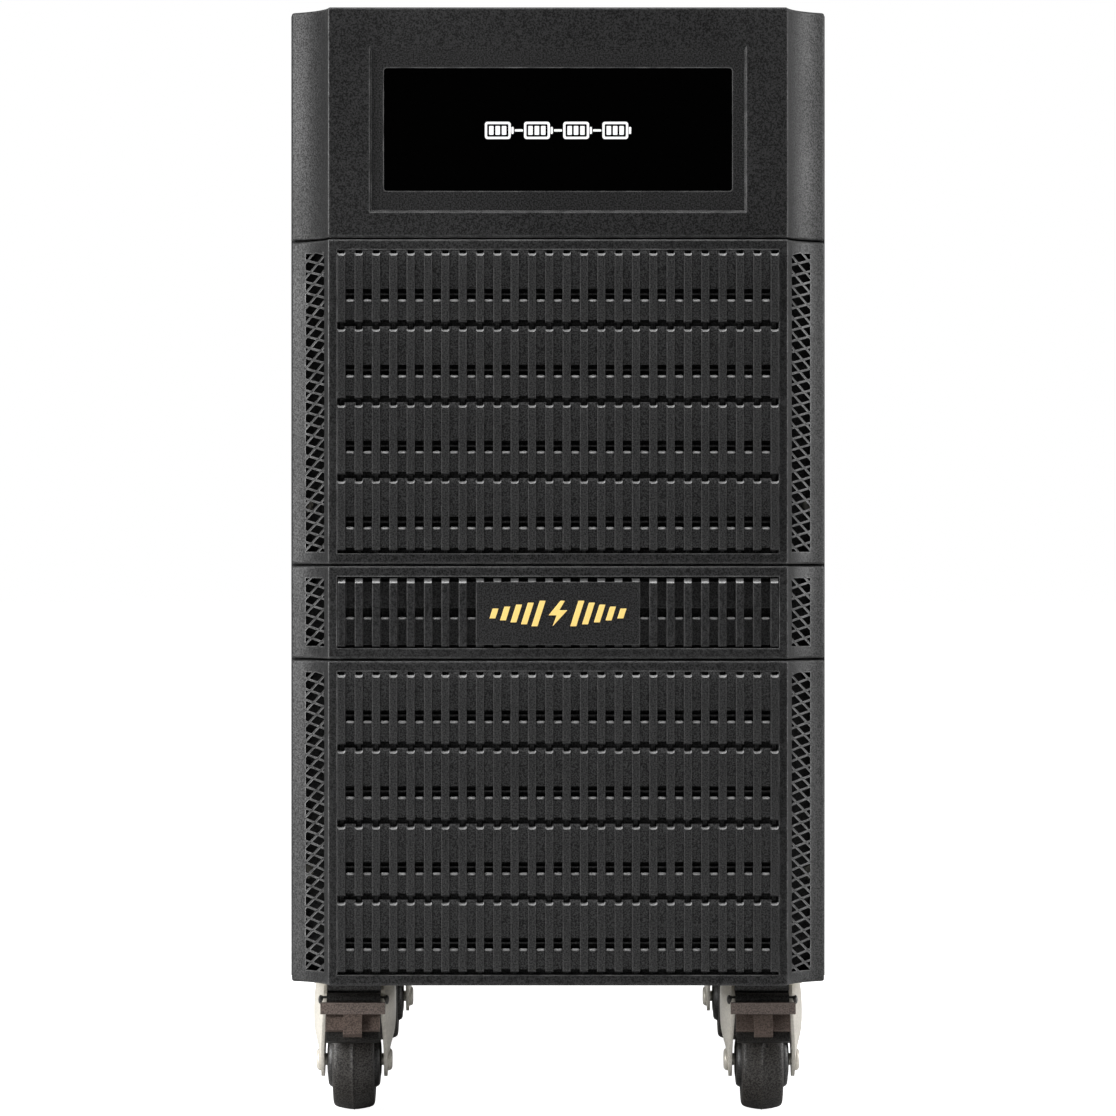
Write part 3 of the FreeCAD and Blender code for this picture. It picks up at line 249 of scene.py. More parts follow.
def add_prism(bm, points, x0, x1, bevel=0.0, segments=2, material_index=0):
    """A profile of (y, z) points swept along X into bm, with its edges rounded."""
    part = bmesh.new()
    ends = [[part.verts.new((x, y, z)) for y, z in points] for x in (x0, x1)]
    part.faces.new(ends[0])
    part.faces.new(list(reversed(ends[1])))
    for i in range(len(points)):
        j = (i + 1) % len(points)
        part.faces.new((ends[0][j], ends[0][i], ends[1][i], ends[1][j]))
    if bevel:
        round_edges(part, bevel, segments)
    for face in part.faces:
        face.material_index = material_index
    merge_into(bm, part)


def round_edges(bm, width, segments=2, angle=25.0):
    """Bevels the edges that turn by more than the angle."""
    sharp = [e for e in bm.edges if len(e.link_faces) == 2 and e.calc_face_angle(0.0) > math.radians(angle)]
    bmesh.ops.bevel(bm, geom=sharp, offset=width, segments=segments, profile=0.5, affect="EDGES",
                    clamp_overlap=True)


def add_copies(bm, part, offsets):
    """Adds a part's mesh to bm at each offset, and frees the part."""
    mesh = bpy.data.meshes.new("part")
    part.to_mesh(mesh)
    part.free()
    last = Vector((0, 0, 0))
    for offset in offsets:
        step = Vector(offset) - last
        mesh.transform(Matrix.Translation(step))
        last = Vector(offset)
        bm.from_mesh(mesh)
    bpy.data.meshes.remove(mesh)


def merge_into(bm, part):
    """Adds a part's mesh to bm where it is, and frees the part."""
    add_copies(bm, part, [(0, 0, 0)])


def shift(bm, x, y):
    bmesh.ops.translate(bm, verts=bm.verts, vec=Vector((x, y, 0)))


def add_lathe(bm, profile, centre, axis, steps=96):
    """Revolves a closed profile of (radius, distance along axis) points about an axis through centre."""
    rings = []
    for i in range(steps):
        a = 2 * math.pi * i / steps
        ring = []
        for radius, along in profile:
            u, v = radius * math.cos(a), radius * math.sin(a)
            point = (along, u, v) if axis == "x" else (u, v, along)
            ring.append(bm.verts.new(Vector(point) + Vector(centre)))
        rings.append(ring)
    count = len(profile)
    for i in range(steps):
        here, there = rings[i], rings[(i + 1) % steps]
        for k in range(count):
            n = (k + 1) % count
            bm.faces.new((here[k], there[k], there[n], here[n]))


# ---------------------------------------------------------------- louvres
# The second slot holds a painted highlight, and the third the lighter blade grey, which is painted fill
# light.
INSERT_SLOTS = {"skin": 0, "highlight_and_scuff": 1, "blade": 2}  # places of an insert's materials on its mesh


def rib_centres():
    return [-GRILLE_HALF + index * RIB_PITCH + RIB_WIDTH / 2 for index in range(RIB_COUNT)]


def groove_centres():
    return [centre + RIB_PITCH / 2 for centre in rib_centres()[:-1]]


def rib_mesh(top_z, front_y, back_y, face_top, back_top, bottom, cup, bevel):
    """One rib: a bar with a sloped top face that dips between its sides, and rounded edges.

    The heights are measured from top_z, and cup is how far the sides stand above the dip."""
    half = RIB_WIDTH / 2
    shoulder = half - 0.7
    dip = 0.12 * cup
    across = [(-half, cup), (-shoulder, dip), (shoulder, dip), (half, cup)]
    bm = bmesh.new()
    rows = []
    for y, z in ((back_y, back_top), (front_y + 2.4, back_top), (front_y, face_top)):
        rows.append([bm.verts.new((x, y, top_z + z + lift)) for x, lift in across])
    rows.append([bm.verts.new((x, front_y, top_z + bottom + 0.6)) for x, _ in across])
    rows.append([bm.verts.new((x, front_y + 1.6, top_z + bottom)) for x, _ in across])
    rows.append([bm.verts.new((x, back_y, top_z + bottom)) for x, _ in across])
    count = len(rows)
    for i in range(count):
        a, b = rows[i], rows[(i + 1) % count]
        for k in range(len(across) - 1):
            bm.faces.new((a[k], a[k + 1], b[k + 1], b[k]))
    bm.faces.new([row[0] for row in rows])
    bm.faces.new([row[-1] for row in reversed(rows)])
    bmesh.ops.recalc_face_normals(bm, faces=bm.faces)
    round_edges(bm, bevel, 2, 30.0)
    bm.normal_update()
    # Upward faces near the front of the rib take the painted highlight grey.
    for face in bm.faces:
        if face.normal.z > 0.35 and face.calc_center_median().y < front_y + 2.5:
            face.material_index = INSERT_SLOTS["highlight_and_scuff"]
    return bm


LIP_TILT = math.radians(48.0)  # of a ledge's flat side, back from upright


def lip_mesh(y, z, tall, thick, length):
    """A flat bar along X with rounded ends, tilted back so that its face looks up and forwards."""
    steps, rings = 16, 4
    profile = []
    for i in range(rings + 1):
        a = math.pi / 2 * i / rings
        profile.append((math.sin(a), -length / 2 + tall / 2 * (1 - math.cos(a))))
    profile += [(r, -x) for r, x in reversed(profile)]
    bm = bmesh.new()
    poles = [bm.verts.new((x, y, z)) for x in (-length / 2, length / 2)]
    loops = []
    for scale, x in profile[1:-1]:
        loop = []
        for s in range(steps):
            a = 2 * math.pi * s / steps
            along, out = scale * tall / 2 * math.cos(a), scale * thick / 2 * math.sin(a)
            back = along * math.sin(LIP_TILT) - out * math.cos(LIP_TILT)
            up = along * math.cos(LIP_TILT) + out * math.sin(LIP_TILT)
            loop.append(bm.verts.new((x, y + back, z + up)))
        loops.append(loop)
    for s in range(steps):
        n = (s + 1) % steps
        bm.faces.new((poles[0], loops[0][s], loops[0][n]))
        bm.faces.new((poles[1], loops[-1][n], loops[-1][s]))
        for a, b in zip(loops, loops[1:]):
            bm.faces.new((a[s], b[s], b[n], a[n]))
    # The whole ledge takes the painted highlight grey.
    for face in bm.faces:
        face.material_index = INSERT_SLOTS["highlight_and_scuff"]
    return bm


SPINE_HALF = 0.8  # half the width of the thin bar behind each rib


def add_rim(bm, z0, z1, depth):
    """The flange behind the border, as four bars, and a spine behind each rib."""
    y0, y1 = FACE_Y + RIM_FRONT, FACE_Y + RIM_BACK
    edge = GRILLE_HALF + 0.2 + RIM_OVERLAP
    for low, high in ((z0 - RIM_OVERLAP, z0 + 0.2), (z1 - 0.2, z1 + RIM_OVERLAP)):
        add_prism(bm, [(y0, low), (y1, low), (y1, high), (y0, high)], -edge, edge, 0.2)
    for x0, x1 in ((-edge, -GRILLE_HALF), (GRILLE_HALF, edge)):
        add_prism(bm, [(y0, z0), (y1, z0), (y1, z1), (y0, z1)], x0, x1, 0.2)
    back = FACE_Y + depth
    front = back - 0.8
    low, high = z0 - 0.8, z1 + 0.8
    spine = bmesh.new()
    add_prism(spine, [(front, low), (back, low), (back, high), (front, high)], -SPINE_HALF, SPINE_HALF, 0.15)
    add_copies(bm, spine, [(x, 0, 0) for x in rib_centres()])


def placed(points, top=0.0):
    """Points given as depth behind the face and height from a row's top, as (y, z)."""
    return [(FACE_Y + depth, top + height) for depth, height in points]


def add_blades(bm, points, top, bevel, row_drops, slot):
    """A blade with the given profile in every groove, in each row."""
    blade = bmesh.new()
    add_prism(blade, placed(points, top), -GROOVE / 2 - 0.4, GROOVE / 2 + 0.4, bevel, material_index=slot)
    add_copies(bm, blade, [(x, 0, drop) for drop in row_drops for x in groove_centres()])


def insert_heights(node):
    """Bottom and top of the opening that an insert fills."""
    low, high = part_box(node)
    return low.z / MM + RIM_OVERLAP, high.z / MM - RIM_OVERLAP


def insert_piece(node, bm, skin):
    """Places an insert's mesh, with the materials of INSERT_SLOTS."""
    return piece(node + "_insert", bm, skin, "cabinet", [node], extra=(PAINTED_HIGHLIGHT, BLADE))


# profiles of a four-row louvre: depth behind the face, and height from the row's top
ROW_UPPER_BLADE = [(0.2, -0.3), (1.4, -18.9), (3.2, -18.9), (2.2, -0.3)]
ROW_LOWER_BLADE = [(1.7, -24.8), (0.5, -25.2), (0.3, -34.0), (2.4, -34.0), (3.4, -24.4)]
ROW_CROSSBAR = [(2.5, -21.0), (2.5, -21.8), (5.2, -21.8), (5.2, -21.0)]

# the same for the narrow strip
STRIP_UPPER_BLADE = [(3.4, -2.6), (4.0, -15.3), (5.6, -15.3), (5.2, -2.6)]
STRIP_LOWER_BLADE = [(4.6, -20.2), (3.4, -20.6), (3.2, -33.2), (5.4, -33.2), (6.0, -20.0)]


def four_row_louvre(node):
    """Four rows of ribs, with an upper and a lower blade and a ledge in each groove. The blades are painted
    lighter as fill light, and the ledges carry a painted highlight.
    """
    z0, z1 = insert_heights(node)
    row = (z1 - z0) / ROW_COUNT
    tops = [z1 - r * row for r in range(ROW_COUNT)]
    bm = bmesh.new()
    rib = rib_mesh(0.0, FACE_Y - RIB_PROUD, FACE_Y + 5.0, -2.95, -1.9, -35.4, 0.75, 0.22)
    add_copies(bm, rib, [(x, 0, top) for top in tops for x in rib_centres()])
    add_blades(bm, ROW_UPPER_BLADE, 0.0, 0.25, tops, INSERT_SLOTS["blade"])
    add_blades(bm, ROW_LOWER_BLADE, 0.0, 0.2, tops, INSERT_SLOTS["blade"])
    lip = lip_mesh(FACE_Y + 1.1, -24.6, 1.9, 0.7, GROOVE - 0.35)
    add_copies(bm, lip, [(x, 0, top) for top in tops for x in groove_centres()])
    for top in tops:
        add_prism(bm, placed(ROW_CROSSBAR, top), -GRILLE_HALF, GRILLE_HALF, 0.2)
    add_rim(bm, z0, z1, LOUVRE_DEPTH)
    return insert_piece(node, bm, INSERT)


def strip_louvre(node):
    """One row of ribs flush with the face, with deeper blades."""
    z0, z1 = insert_heights(node)
    bm = bmesh.new()
    rib = rib_mesh(z1, FACE_Y, FACE_Y + 6.4, -3.2, -0.8, -34.4, 0.15, 0.4)
    add_copies(bm, rib, [(x, 0, 0) for x in rib_centres()])
    add_blades(bm, STRIP_UPPER_BLADE, z1, 0.25, [0], INSERT_SLOTS["skin"])
    add_blades(bm, STRIP_LOWER_BLADE, z1, 0.2, [0], INSERT_SLOTS["skin"])
    # These ledges carry the painted highlight grey too.
    lip = lip_mesh(FACE_Y + 4.0, z1 - 20.3, 1.7, 0.7, GROOVE - 0.3)
    add_copies(bm, lip, [(x, 0, 0) for x in groove_centres()])
    add_rim(bm, z0, z1, STRIP_LOUVRE_DEPTH)
    return insert_piece(node, bm, STRIP_INSERT)


four_row_louvre("upper_louvre")
four_row_louvre("lower_louvre")
strip_louvre("strip_louvre")


# ---------------------------------------------------------------- marks
def add_plate(bm, outline, y0, y1):
    """A flat outline of (x, z) points, given thickness along Y."""
    front = [bm.verts.new((x, y0, z)) for x, z in outline]
    back = [bm.verts.new((x, y1, z)) for x, z in outline]
    bm.faces.new(front)
    bm.faces.new(list(reversed(back)))
    for i in range(len(outline)):
        j = (i + 1) % len(outline)
        bm.faces.new((front[i], back[i], back[j], front[j]))


def rounded_rect(x0, x1, z0, z1, radius, steps=4):
    """Outline points of a rectangle with rounded corners, counter-clockwise as seen from the front."""
    corners = [(x1 - radius, z1 - radius, 0), (x0 + radius, z1 - radius, 90),
               (x0 + radius, z0 + radius, 180), (x1 - radius, z0 + radius, 270)]
    points = []
    for cx, cz, start in corners:
        for i in range(steps + 1):
            a = math.radians(start + 90 * i / steps)
            points.append((cx + radius * math.cos(a), cz + radius * math.sin(a)))
    return points


def add_frame(bm, outer, inner, y0, y1):
    """A flat ring between two outlines of equal length."""
    loops = [[bm.verts.new((x, y, z)) for x, z in points] for points in (outer, inner) for y in (y0, y1)]
    outer_front, outer_back, inner_front, inner_back = loops
    count = len(outer)
    for i in range(count):
        j = (i + 1) % count
        bm.faces.new((outer_front[i], outer_front[j], inner_front[j], inner_front[i]))
        bm.faces.new((outer_back[j], outer_back[i], inner_back[i], inner_back[j]))
        bm.faces.new((outer_front[j], outer_front[i], outer_back[i], outer_back[j]))
        bm.faces.new((inner_front[i], inner_front[j], inner_back[j], inner_back[i]))


CELL_COUNT = 4
CELL_Z = 481.3  # the middle of the row of cells
CELL_TALL, CELL_WIDE, CELL_PITCH, CELL_STROKE = 8.4, 14.0, 19.0, 1.15
CELL_CAP = 1.4  # from the case's end to the tip of its terminal
CHARGE_BARS, CHARGE_WIDE, CHARGE_PITCH, CHARGE_GAP = 3, 2.2, 3.1, 0.9
PRINT_THICK = 0.08
MARK_THICK = 0.3


def window_print():
    """A row of plain battery cells joined by links, printed on the window."""
    low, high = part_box("window_panel")
    y1 = low.y / MM
    y0 = y1 - PRINT_THICK
    z0, z1 = CELL_Z - CELL_TALL / 2, CELL_Z + CELL_TALL / 2
    inset = CELL_STROKE + CHARGE_GAP
    bm = bmesh.new()
    for i in range(CELL_COUNT):
        x = (i - (CELL_COUNT - 1) / 2) * CELL_PITCH
        x0, x1 = x - CELL_WIDE / 2, x + CELL_WIDE / 2 - CELL_CAP
        outer = rounded_rect(x0, x1, z0, z1, 1.3)
        inner = rounded_rect(x0 + CELL_STROKE, x1 - CELL_STROKE, z0 + CELL_STROKE, z1 - CELL_STROKE, 0.5)
        add_frame(bm, outer, inner, y0, y1)
        add_plate(bm, rounded_rect(x1 + 0.3, x1 + CELL_CAP, CELL_Z - 1.7, CELL_Z + 1.7, 0.35), y0, y1)
        for k in range(CHARGE_BARS):
            left = x0 + inset + k * CHARGE_PITCH
            add_plate(bm, rounded_rect(left, left + CHARGE_WIDE, z0 + inset, z1 - inset, 0.3), y0, y1)
        if i < CELL_COUNT - 1:
            link_end = x1 + CELL_PITCH - CELL_WIDE + 0.9
            add_plate(bm, rounded_rect(x1 + 1.9, link_end, CELL_Z - 0.55, CELL_Z + 0.55, 0.25), y0, y1)
    return piece("window_print", bm, PRINT_WHITE, "cabinet", smooth=FINE_ANGLE)


BOLT = [(1.2, 6.2), (-4.6, -0.9), (-0.7, -0.9), (-2.6, -6.2), (4.6, 1.6), (0.7, 1.6), (3.4, 6.2)]
SLANT_COUNT, SLANT_START, SLANT_PITCH = 5, 9.4, 5.4
SLANT_HALF_TALL, SLANT_SHORTER, SLANT_HALF_WIDE, SLANT_LEAN = 6.2, 0.95, 1.45, 0.32


def badge_mark():
    """A lightning bolt between slanted bars that shorten outwards, raised on the badge."""
    low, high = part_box("badge_plate")
    y1 = low.y / MM
    y0 = y1 - MARK_THICK
    z = (low.z + high.z) / 2 / MM
    bm = bmesh.new()
    add_plate(bm, [(x, z + h) for x, h in BOLT], y0, y1)
    for side in (-1, 1):
        for i in range(SLANT_COUNT):
            x = side * (SLANT_START + i * SLANT_PITCH)
            half_tall = SLANT_HALF_TALL - i * SLANT_SHORTER
            lean = SLANT_LEAN * half_tall
            left, right = x - SLANT_HALF_WIDE, x + SLANT_HALF_WIDE
            top, bottom = z + half_tall, z - half_tall
            bar = [(left + lean, top), (left - lean, bottom), (right - lean, bottom), (right + lean, top)]
            add_plate(bm, bar, y0, y1)
    bmesh.ops.recalc_face_normals(bm, faces=bm.faces)
    round_edges(bm, 0.1, 1)
    return piece("badge_mark", bm, BADGE_YELLOW, "cabinet", smooth=FINE_ANGLE)


window_print()
badge_mark()


# ---------------------------------------------------------------- castors
def smooth_steps(keys, steps):
    """Values between keyed rows, on a Catmull-Rom spline, with steps from each row to the next."""
    padded = [keys[0]] + list(keys) + [keys[-1]]
    rows = []
    for a, b, c, d in zip(padded, padded[1:], padded[2:], padded[3:]):
        for i in range(steps):
            t = i / steps
            rows.append([0.5 * (2 * q + (r - p) * t + (2 * p - 5 * q + 4 * r - s) * t * t
                                + (3 * q - p - 3 * r + s) * t ** 3) for p, q, r, s in zip(a, b, c, d)])
    rows.append(list(keys[-1]))
    return rows


LEG_KEYS = [  # height, x at the edges, x in the middle, front y, rear y
    (64.2, 15.0, 19.5, -16.3, 14.0),
    (60.5, 15.0, 20.0, -24.0, 14.0),
    (56.0, 15.0, 20.3, -32.0, 12.8),
    (48.0, 15.2, 20.4, -33.7, 8.0),
    (40.0, 15.8, 19.9, -30.3, 1.0),
    (31.0, 16.3, 17.8, -27.9, -7.0),
    (25.0, 16.4, 16.8, -26.4, -9.6),
]
LEG_THICK = 1.7
FOOT_RADIUS = 8.4  # of the leg's round end, about the axle
FOOT_BOW = 0.3


def leg_rows():
    """The rows of LEG_KEYS smoothed, then the round end, which stops just short of its lowest point."""
    rows = smooth_steps(LEG_KEYS, 4)
    edge_x = LEG_KEYS[-1][1]
    for i in range(1, 8):
        a = math.pi / 2 * i / 7.3
        half = FOOT_RADIUS * math.cos(a)
        middle_x = edge_x + FOOT_BOW * (half / FOOT_RADIUS) ** 2
        height = WHEEL_RADIUS - FOOT_RADIUS * math.sin(a)
        rows.append([height, edge_x, middle_x, -TRAIL - half, -TRAIL + half])
    return rows


def add_leg(bm, side):
    """A bowed pressed leg: an outer and an inner skin joined round the rim."""
    across = 12
    skins = []
    for inset in (0.0, LEG_THICK):
        grid = []
        for z, edge_x, middle_x, y0, y1 in leg_rows():
            line = []
            for k in range(across + 1):
                t = k / across
                bow = 1 - (2 * t - 1) ** 2
                x = edge_x + (middle_x - edge_x) * bow - inset
                line.append(bm.verts.new((side * x, y0 + (y1 - y0) * t, z)))
            grid.append(line)
        skins.append(grid)
    outer, inner = skins
    for grid in skins:
        for a, b in zip(grid, grid[1:]):
            for k in range(across):
                bm.faces.new((a[k], a[k + 1], b[k + 1], b[k]))
    rims = [([row[0] for row in outer], [row[0] for row in inner]),
            ([row[-1] for row in outer], [row[-1] for row in inner]),
            (outer[0], inner[0]), (outer[-1], inner[-1])]
    for a, b in rims:
        for k in range(len(a) - 1):
            bm.faces.new((a[k], a[k + 1], b[k + 1], b[k]))


# closed profile of the cup over the swivel's balls: radius and height
SWIVEL_CUP = [(4.6, 66.2), (16.6, 66.2), (18.9, 65.8), (20.2, 64.9), (20.8, 63.4), (20.9, 61.6), (20.4, 61.4),
              (19.5, 61.6), (19.2, 63.0), (18.0, 64.0), (16.0, 64.3), (4.6, 64.3)]


def make_fork(name, x, y):
    """Two bowed legs under a round cup."""
    bm = bmesh.new()
    for side in (-1, 1):
        leg = bmesh.new()
        add_leg(leg, side)
        bmesh.ops.recalc_face_normals(leg, faces=leg.faces)
        round_edges(leg, 0.5, 2, 50.0)
        merge_into(bm, leg)
    add_lathe(bm, SWIVEL_CUP, (0, 0, 0), "z", 72)
    shift(bm, x, y)
    return piece(f"{name}_fork_pressing", bm, ZINC, f"{name}_swivel", [f"{name}_fork"], 40)


# half profiles from the middle plane outwards: radius, and distance along the axle
TYRE_HALF = [(24.98, 0.0), (24.98, 0.22), (24.82, 0.4), (24.7, 2.2), (24.3, 4.9), (23.7, 7.6), (23.2, 8.9),
             (22.6, 9.7), (21.6, 10.15), (20.2, 10.28), (17.4, 10.25), (17.2, 9.9)]
HUB_HALF = [(17.1, 9.3), (15.0, 9.3), (14.2, 9.7), (13.7, 11.0), (13.1, 12.1), (12.2, 12.7), (10.6, 12.9),
            (9.8, 12.7), (9.2, 12.8), (8.4, 13.2), (7.0, 13.35), (3.1, 13.35)]
RIVET_HALF = [(0.6, 17.5), (1.7, 17.2), (2.3, 16.6), (2.3, 16.0), (1.9, 15.9)]


def both_halves(half):
    """A closed profile from one half. A point on the middle plane isn't repeated."""
    return half + [(radius, -along) for radius, along in reversed(half) if along > 0]


def make_wheel(name, x, y):
    """A crowned tyre with a parting line, and a dished hub."""
    centre = (x, y - TRAIL, WHEEL_RADIUS)
    tyre = bmesh.new()
    add_lathe(tyre, both_halves(TYRE_HALF), centre, "x", 120)
    piece(f"{name}_tyre_tread", tyre, TYRE, f"{name}_wheel", [f"{name}_tyre"], ROUND_ANGLE)
    hub = bmesh.new()
    add_lathe(hub, both_halves(HUB_HALF), centre, "x", 96)
    piece(f"{name}_hub_disc", hub, HUB, f"{name}_wheel", [f"{name}_hub"], ROUND_ANGLE)


def arc_points(radius, start, end, steps):
    """Points (y, z) on an arc about the wheel, by degrees above level at its front."""
    angles = [math.radians(start + (end - start) * i / steps) for i in range(steps + 1)]
    return [(-TRAIL - radius * math.cos(a), WHEEL_RADIUS + radius * math.sin(a)) for a in angles]


PIN_Y, PIN_Z = -30.0, 55.5  # the brake lever's pin, from the swivel axis and the floor
SHOE_INNER, LEVER_INNER, LEVER_OUTER = 27.7, 30.8, 33.1  # radii about the wheel


def circle(y, z, radius, steps=24):
    angles = [2 * math.pi * i / steps for i in range(steps)]
    return [(y + radius * math.cos(a), z + radius * math.sin(a)) for a in angles]


# side profiles (y, z) from the swivel axis and the floor, and half widths
TOE_BAR = [(-43.9, 49.4), (-43.9, 55.0), (-39.1, 55.0), (-36.6, 52.6), (-39.1, 49.4)]
# The guard reaches up over the front of the swivel cup, where its black stands in for shade as well as being
# a part.
LEVER_GUARD = [(-25.9, 59.7), (-22.5, 59.7), (-22.5, 55.2), (-15.1, 55.2), (-15.1, 63.9), (-25.9, 63.9)]
BAR_HALF, LEVER_HALF, TAB_HALF, SHOE_HALF, EYE_HALF = 15.95, 13.4, 4.6, 13.0, 13.2
EYE_RADIUS = 3.4
TAB_PROUD = 2.5  # how far the tab stands out from the lever


def make_pedal(name, x, y):
    """The toe lever in brown, its black brake shoe with an eye for the pin, the pin, and the black guard. The
    guard also covers the front of the swivel cup as painted shade.
    """
    plate = arc_points(LEVER_INNER, 30.9, 64.0, 12) + arc_points(LEVER_OUTER, 64.0, 30.9, 12)
    tab = arc_points(LEVER_INNER, 25.4, 43.0, 8) + arc_points(LEVER_OUTER + TAB_PROUD, 43.0, 25.4, 8)
    lever = bmesh.new()
    add_prism(lever, plate, -LEVER_HALF, LEVER_HALF, 0.5)
    add_prism(lever, tab, -TAB_HALF, TAB_HALF, 0.6)
    add_prism(lever, TOE_BAR, -BAR_HALF, BAR_HALF, 1.5, 4)
    arc = arc_points(SHOE_INNER, 21.7, 73.5, 14) + arc_points(LEVER_INNER + 0.1, 73.5, 21.7, 14)
    shoe = bmesh.new()
    add_prism(shoe, arc, -SHOE_HALF, SHOE_HALF, 0.4)
    add_prism(shoe, circle(PIN_Y, PIN_Z, EYE_RADIUS), -EYE_HALF, EYE_HALF, 0.3)
    guard = bmesh.new()
    add_prism(guard, LEVER_GUARD, -LEVER_HALF, LEVER_HALF, 0.6)
    for bm in (lever, shoe, guard):
        shift(bm, x, y)
    pedal, swivel = f"{name}_pedal", f"{name}_swivel"
    piece(f"{name}_toe_lever", lever, PEDAL, pedal, [f"{name}_brake_pedal"], ROUND_ANGLE)
    piece(f"{name}_brake_shoe", shoe, HUB, pedal, smooth=ROUND_ANGLE)
    # A black part that also paints shade over the front of the swivel cup.
    piece(f"{name}_lever_guard_and_shade", guard, HUB, swivel, smooth=ROUND_ANGLE)
    rivet = bmesh.new()
    add_lathe(rivet, both_halves(RIVET_HALF), (x, y + PIN_Y, PIN_Z), "x", 32)
    piece(f"{name}_lever_rivet", rivet, DARK_STEEL, swivel, [f"{name}_pedal_pin"], ROUND_ANGLE)


for castor in CASTORS:
    low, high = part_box(f"{castor}_plate")
    centre_x, centre_y = (low.x + high.x) / 2 / MM, (low.y + high.y) / 2 / MM
    make_fork(castor, centre_x, centre_y)
    make_wheel(castor, centre_x, centre_y)
    if castor.startswith("front"):
        make_pedal(castor, centre_x, centre_y)


# ---------------------------------------------------------------- CAD nodes
def smooth_group():
    """Geometry nodes that shade a mesh smooth, apart from edges sharper than an angle."""
    group = bpy.data.node_groups.new("smooth_by_angle", "GeometryNodeTree")
    group.interface.new_socket("Geometry", in_out="INPUT", socket_type="NodeSocketGeometry")
    group.interface.new_socket("Geometry", in_out="OUTPUT", socket_type="NodeSocketGeometry")
    enter = group.nodes.new("NodeGroupInput")
    leave = group.nodes.new("NodeGroupOutput")
    faces = group.nodes.new("GeometryNodeSetShadeSmooth")
    faces.domain = "FACE"
    edges = group.nodes.new("GeometryNodeSetShadeSmooth")
    edges.domain = "EDGE"
    angle = group.nodes.new("GeometryNodeInputMeshEdgeAngle")
    compare = group.nodes.new("FunctionNodeCompare")
    compare.data_type = "FLOAT"
    compare.operation = "LESS_EQUAL"
    compare.inputs[1].default_value = math.radians(SMOOTH_ANGLE)
    group.links.new(enter.outputs[0], faces.inputs["Geometry"])
    group.links.new(faces.outputs[0], edges.inputs["Geometry"])
    group.links.new(angle.outputs["Unsigned Angle"], compare.inputs[0])
    group.links.new(compare.outputs[0], edges.inputs["Shade Smooth"])
    group.links.new(edges.outputs[0], leave.inputs[0])
    return group


SMOOTH = smooth_group()


WELD_DISTANCE = 1e-6
FLAT_ANGLE = 0.5  # neighbouring faces that turn by less, in degrees, are joined before a bevel
BEVEL_ANGLE = 35.0


def dress(node, mat, bevel_mm=0.0):
    """Gives a CAD node its material, rounded edges and smooth shading, by modifiers only."""
    obj = nodes[node]
    if obj.material_slots:
        for slot in obj.material_slots:
            slot.material = mat
    else:
        obj.data.materials.append(mat)
    weld = obj.modifiers.new("weld", "WELD")
    weld.merge_threshold = WELD_DISTANCE
    if bevel_mm:
        planar = obj.modifiers.new("planar", "DECIMATE")
        planar.decimate_type = "DISSOLVE"
        planar.angle_limit = math.radians(FLAT_ANGLE)
        bevel = obj.modifiers.new("edges", "BEVEL")
        bevel.width = bevel_mm * MM
        bevel.segments = 2
        bevel.limit_method = "ANGLE"
        bevel.angle_limit = math.radians(BEVEL_ANGLE)
    smooth = obj.modifiers.new("smooth", "NODES")
    smooth.node_group = SMOOTH
    if bevel_mm:
        level = obj.modifiers.new("level", "WEIGHTED_NORMAL")
        level.weight = 100
        level.keep_sharp = True


for name in ("head_bezel", "upper_fascia_frame", "strip_fascia_frame", "lower_fascia_frame"):
    dress(name, FASCIA)
dress("badge_plate", STRIP_INSERT)
dress("window_panel", WINDOW)
for name in ("left_side_panel", "right_side_panel", "top_cover", "base_tray", "rear_panel", "front_bulkhead"):
    dress(name, PAINT, 0.3)
for name in ("panel_screws", "castor_bolts"):
    dress(name, ZINC)
for castor in CASTORS:
    dress(f"{castor}_plate", ZINC, 0.3)
    dress(f"{castor}_axle", ZINC)
for level in range(1, 5):
    dress(f"battery_shelf_{level}", SHELF, 0.2)
    dress(f"battery_bank_{level}", BATTERY)
dress("bank_hold_downs", SHELF)
dress("battery_terminals", BRASS)
dress("series_links", JACKET)
dress("output_cables", JACKET)
dress("fuse_block", BREAKER, 0.3)
dress("breaker_body", BREAKER, 0.4)
dress("breaker_toggle", TOGGLE, 0.3)
dress("dc_outlets", SOCKET, 0.3)
dress("outlet_contacts", BRASS, 0.2)
dress("ground_stud", BRASS, 0.2)
dress("dust_filters", FILTER)


# ---------------------------------------------------------------- stage, light and camera
FLOOR_GREY = 0.6
FLOOR_GLOW = 0.96  # seen by the camera only, so that the floor is as white as the surround
FLOOR_HALF = 30.0  # metres


def stage_material():
    """A matt floor that looks white without lighting the cabinet."""
    mat, nodes_, links, bsdf = material("floor_white")
    bsdf.inputs["Base Color"].default_value = (FLOOR_GREY, FLOOR_GREY, FLOOR_GREY, 1.0)
    bsdf.inputs["Roughness"].default_value = 0.9
    bsdf.inputs["Specular IOR Level"].default_value = 0.0
    bsdf.inputs["Emission Color"].default_value = (1.0, 1.0, 1.0, 1.0)
    path = nodes_.new("ShaderNodeLightPath")
    glow = remap(nodes_, links, path.outputs["Is Camera Ray"], 0.0, 1.0, 0.0, FLOOR_GLOW)
    links.new(glow, bsdf.inputs["Emission Strength"])
    return mat


def make_floor():
    corners = ((-1, -1), (1, -1), (1, 1), (-1, 1))
    bm = bmesh.new()
    bm.faces.new([bm.verts.new((x * FLOOR_HALF, y * FLOOR_HALF, 0.0)) for x, y in corners])
    mesh = bpy.data.meshes.new("floor")
    bm.to_mesh(mesh)
    bm.free()
    mesh.materials.append(stage_material())
    floor = bpy.data.objects.new("floor", mesh)
    bpy.context.scene.collection.objects.link(floor)


WORLD_FRONT = 0.08  # strength of the surround in front of the cabinet
WORLD_BACK = 0.42


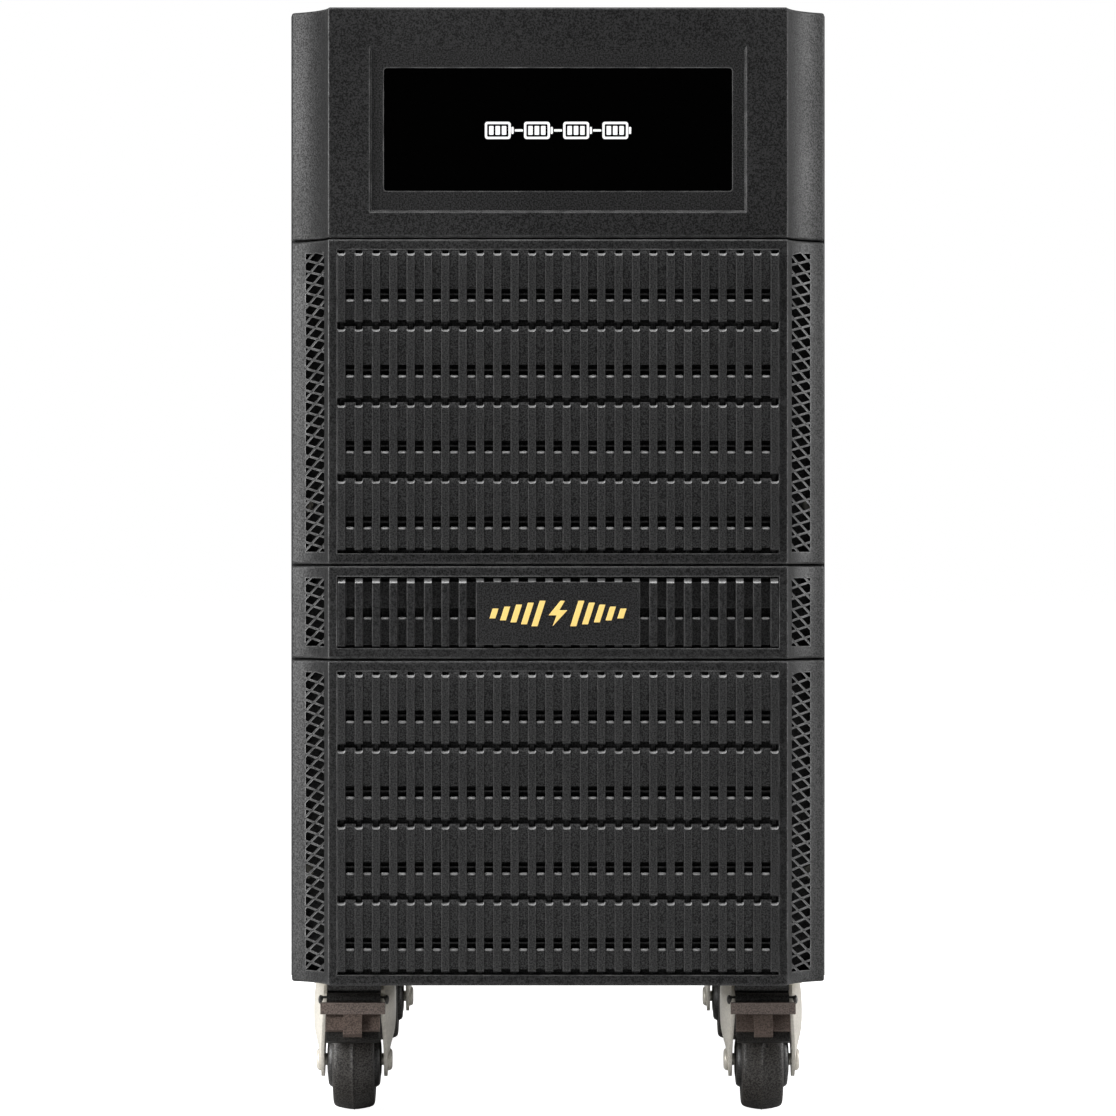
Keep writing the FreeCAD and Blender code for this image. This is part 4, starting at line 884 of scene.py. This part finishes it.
def make_world():
    """A white surround that lights the cabinet less from the front. The camera sees it as plain white."""
    world = bpy.data.worlds.new("studio")
    bpy.context.scene.world = world
    world.use_nodes = True
    nodes_, links = world.node_tree.nodes, world.node_tree.links
    background = nodes_["Background"]
    direction = nodes_.new("ShaderNodeTexCoord").outputs["Generated"]
    split = nodes_.new("ShaderNodeSeparateXYZ")
    links.new(direction, split.inputs[0])
    back = remap(nodes_, links, split.outputs["Y"], -0.95, 0.2, WORLD_FRONT, WORLD_BACK)
    path = nodes_.new("ShaderNodeLightPath")
    mix = nodes_.new("ShaderNodeMix")
    factor, for_light, for_camera = mix.inputs[0], mix.inputs[2], mix.inputs[3]
    links.new(path.outputs["Is Camera Ray"], factor)
    links.new(back, for_light)
    for_camera.default_value = 1.0
    background.inputs["Color"].default_value = (1.0, 1.0, 1.0, 1.0)
    links.new(mix.outputs[0], background.inputs["Strength"])


def area_light(name, location, target, size, power):
    """A rectangular softbox, in metres and watts."""
    data = bpy.data.lights.new(name, "AREA")
    data.shape = "RECTANGLE"
    data.size, data.size_y = size
    data.energy = power
    light = bpy.data.objects.new(name, data)
    light.location = location
    light.rotation_mode = "QUATERNION"
    light.rotation_quaternion = (Vector(target) - Vector(location)).to_track_quat("-Z", "Y")
    bpy.context.scene.collection.objects.link(light)


CAMERA_DISTANCE = 2.6  # from the front plane
VIEW_WIDTH = 0.5407  # of the front plane
HORIZON = 0.2739  # height of the camera
SENSOR_WIDTH = 36.0


def make_camera():
    data = bpy.data.cameras.new("camera")
    data.sensor_width = SENSOR_WIDTH
    data.lens = SENSOR_WIDTH * CAMERA_DISTANCE / VIEW_WIDTH
    data.clip_end = 200.0
    camera = bpy.data.objects.new("camera", data)
    camera.location = (0.0, cad_box[0].y - CAMERA_DISTANCE, HORIZON)
    camera.rotation_euler = (math.radians(90.0), 0.0, 0.0)
    bpy.context.scene.collection.objects.link(camera)
    bpy.context.scene.camera = camera


make_floor()
make_world()
side_target = (0.0, -0.2, 0.3)
area_light("left_softbox", (-1.9, -0.95, 0.6), side_target, (0.6, 1.4), 62.0)
area_light("right_softbox", (1.95, -0.05, 0.6), side_target, (0.8, 1.4), 33.0)
area_light("top_softbox", (0.0, -0.75, 1.9), (0.0, -0.25, 0.3), (1.6, 0.6), 37.0)
make_camera()
bpy.context.scene.view_settings.view_transform = "Standard"
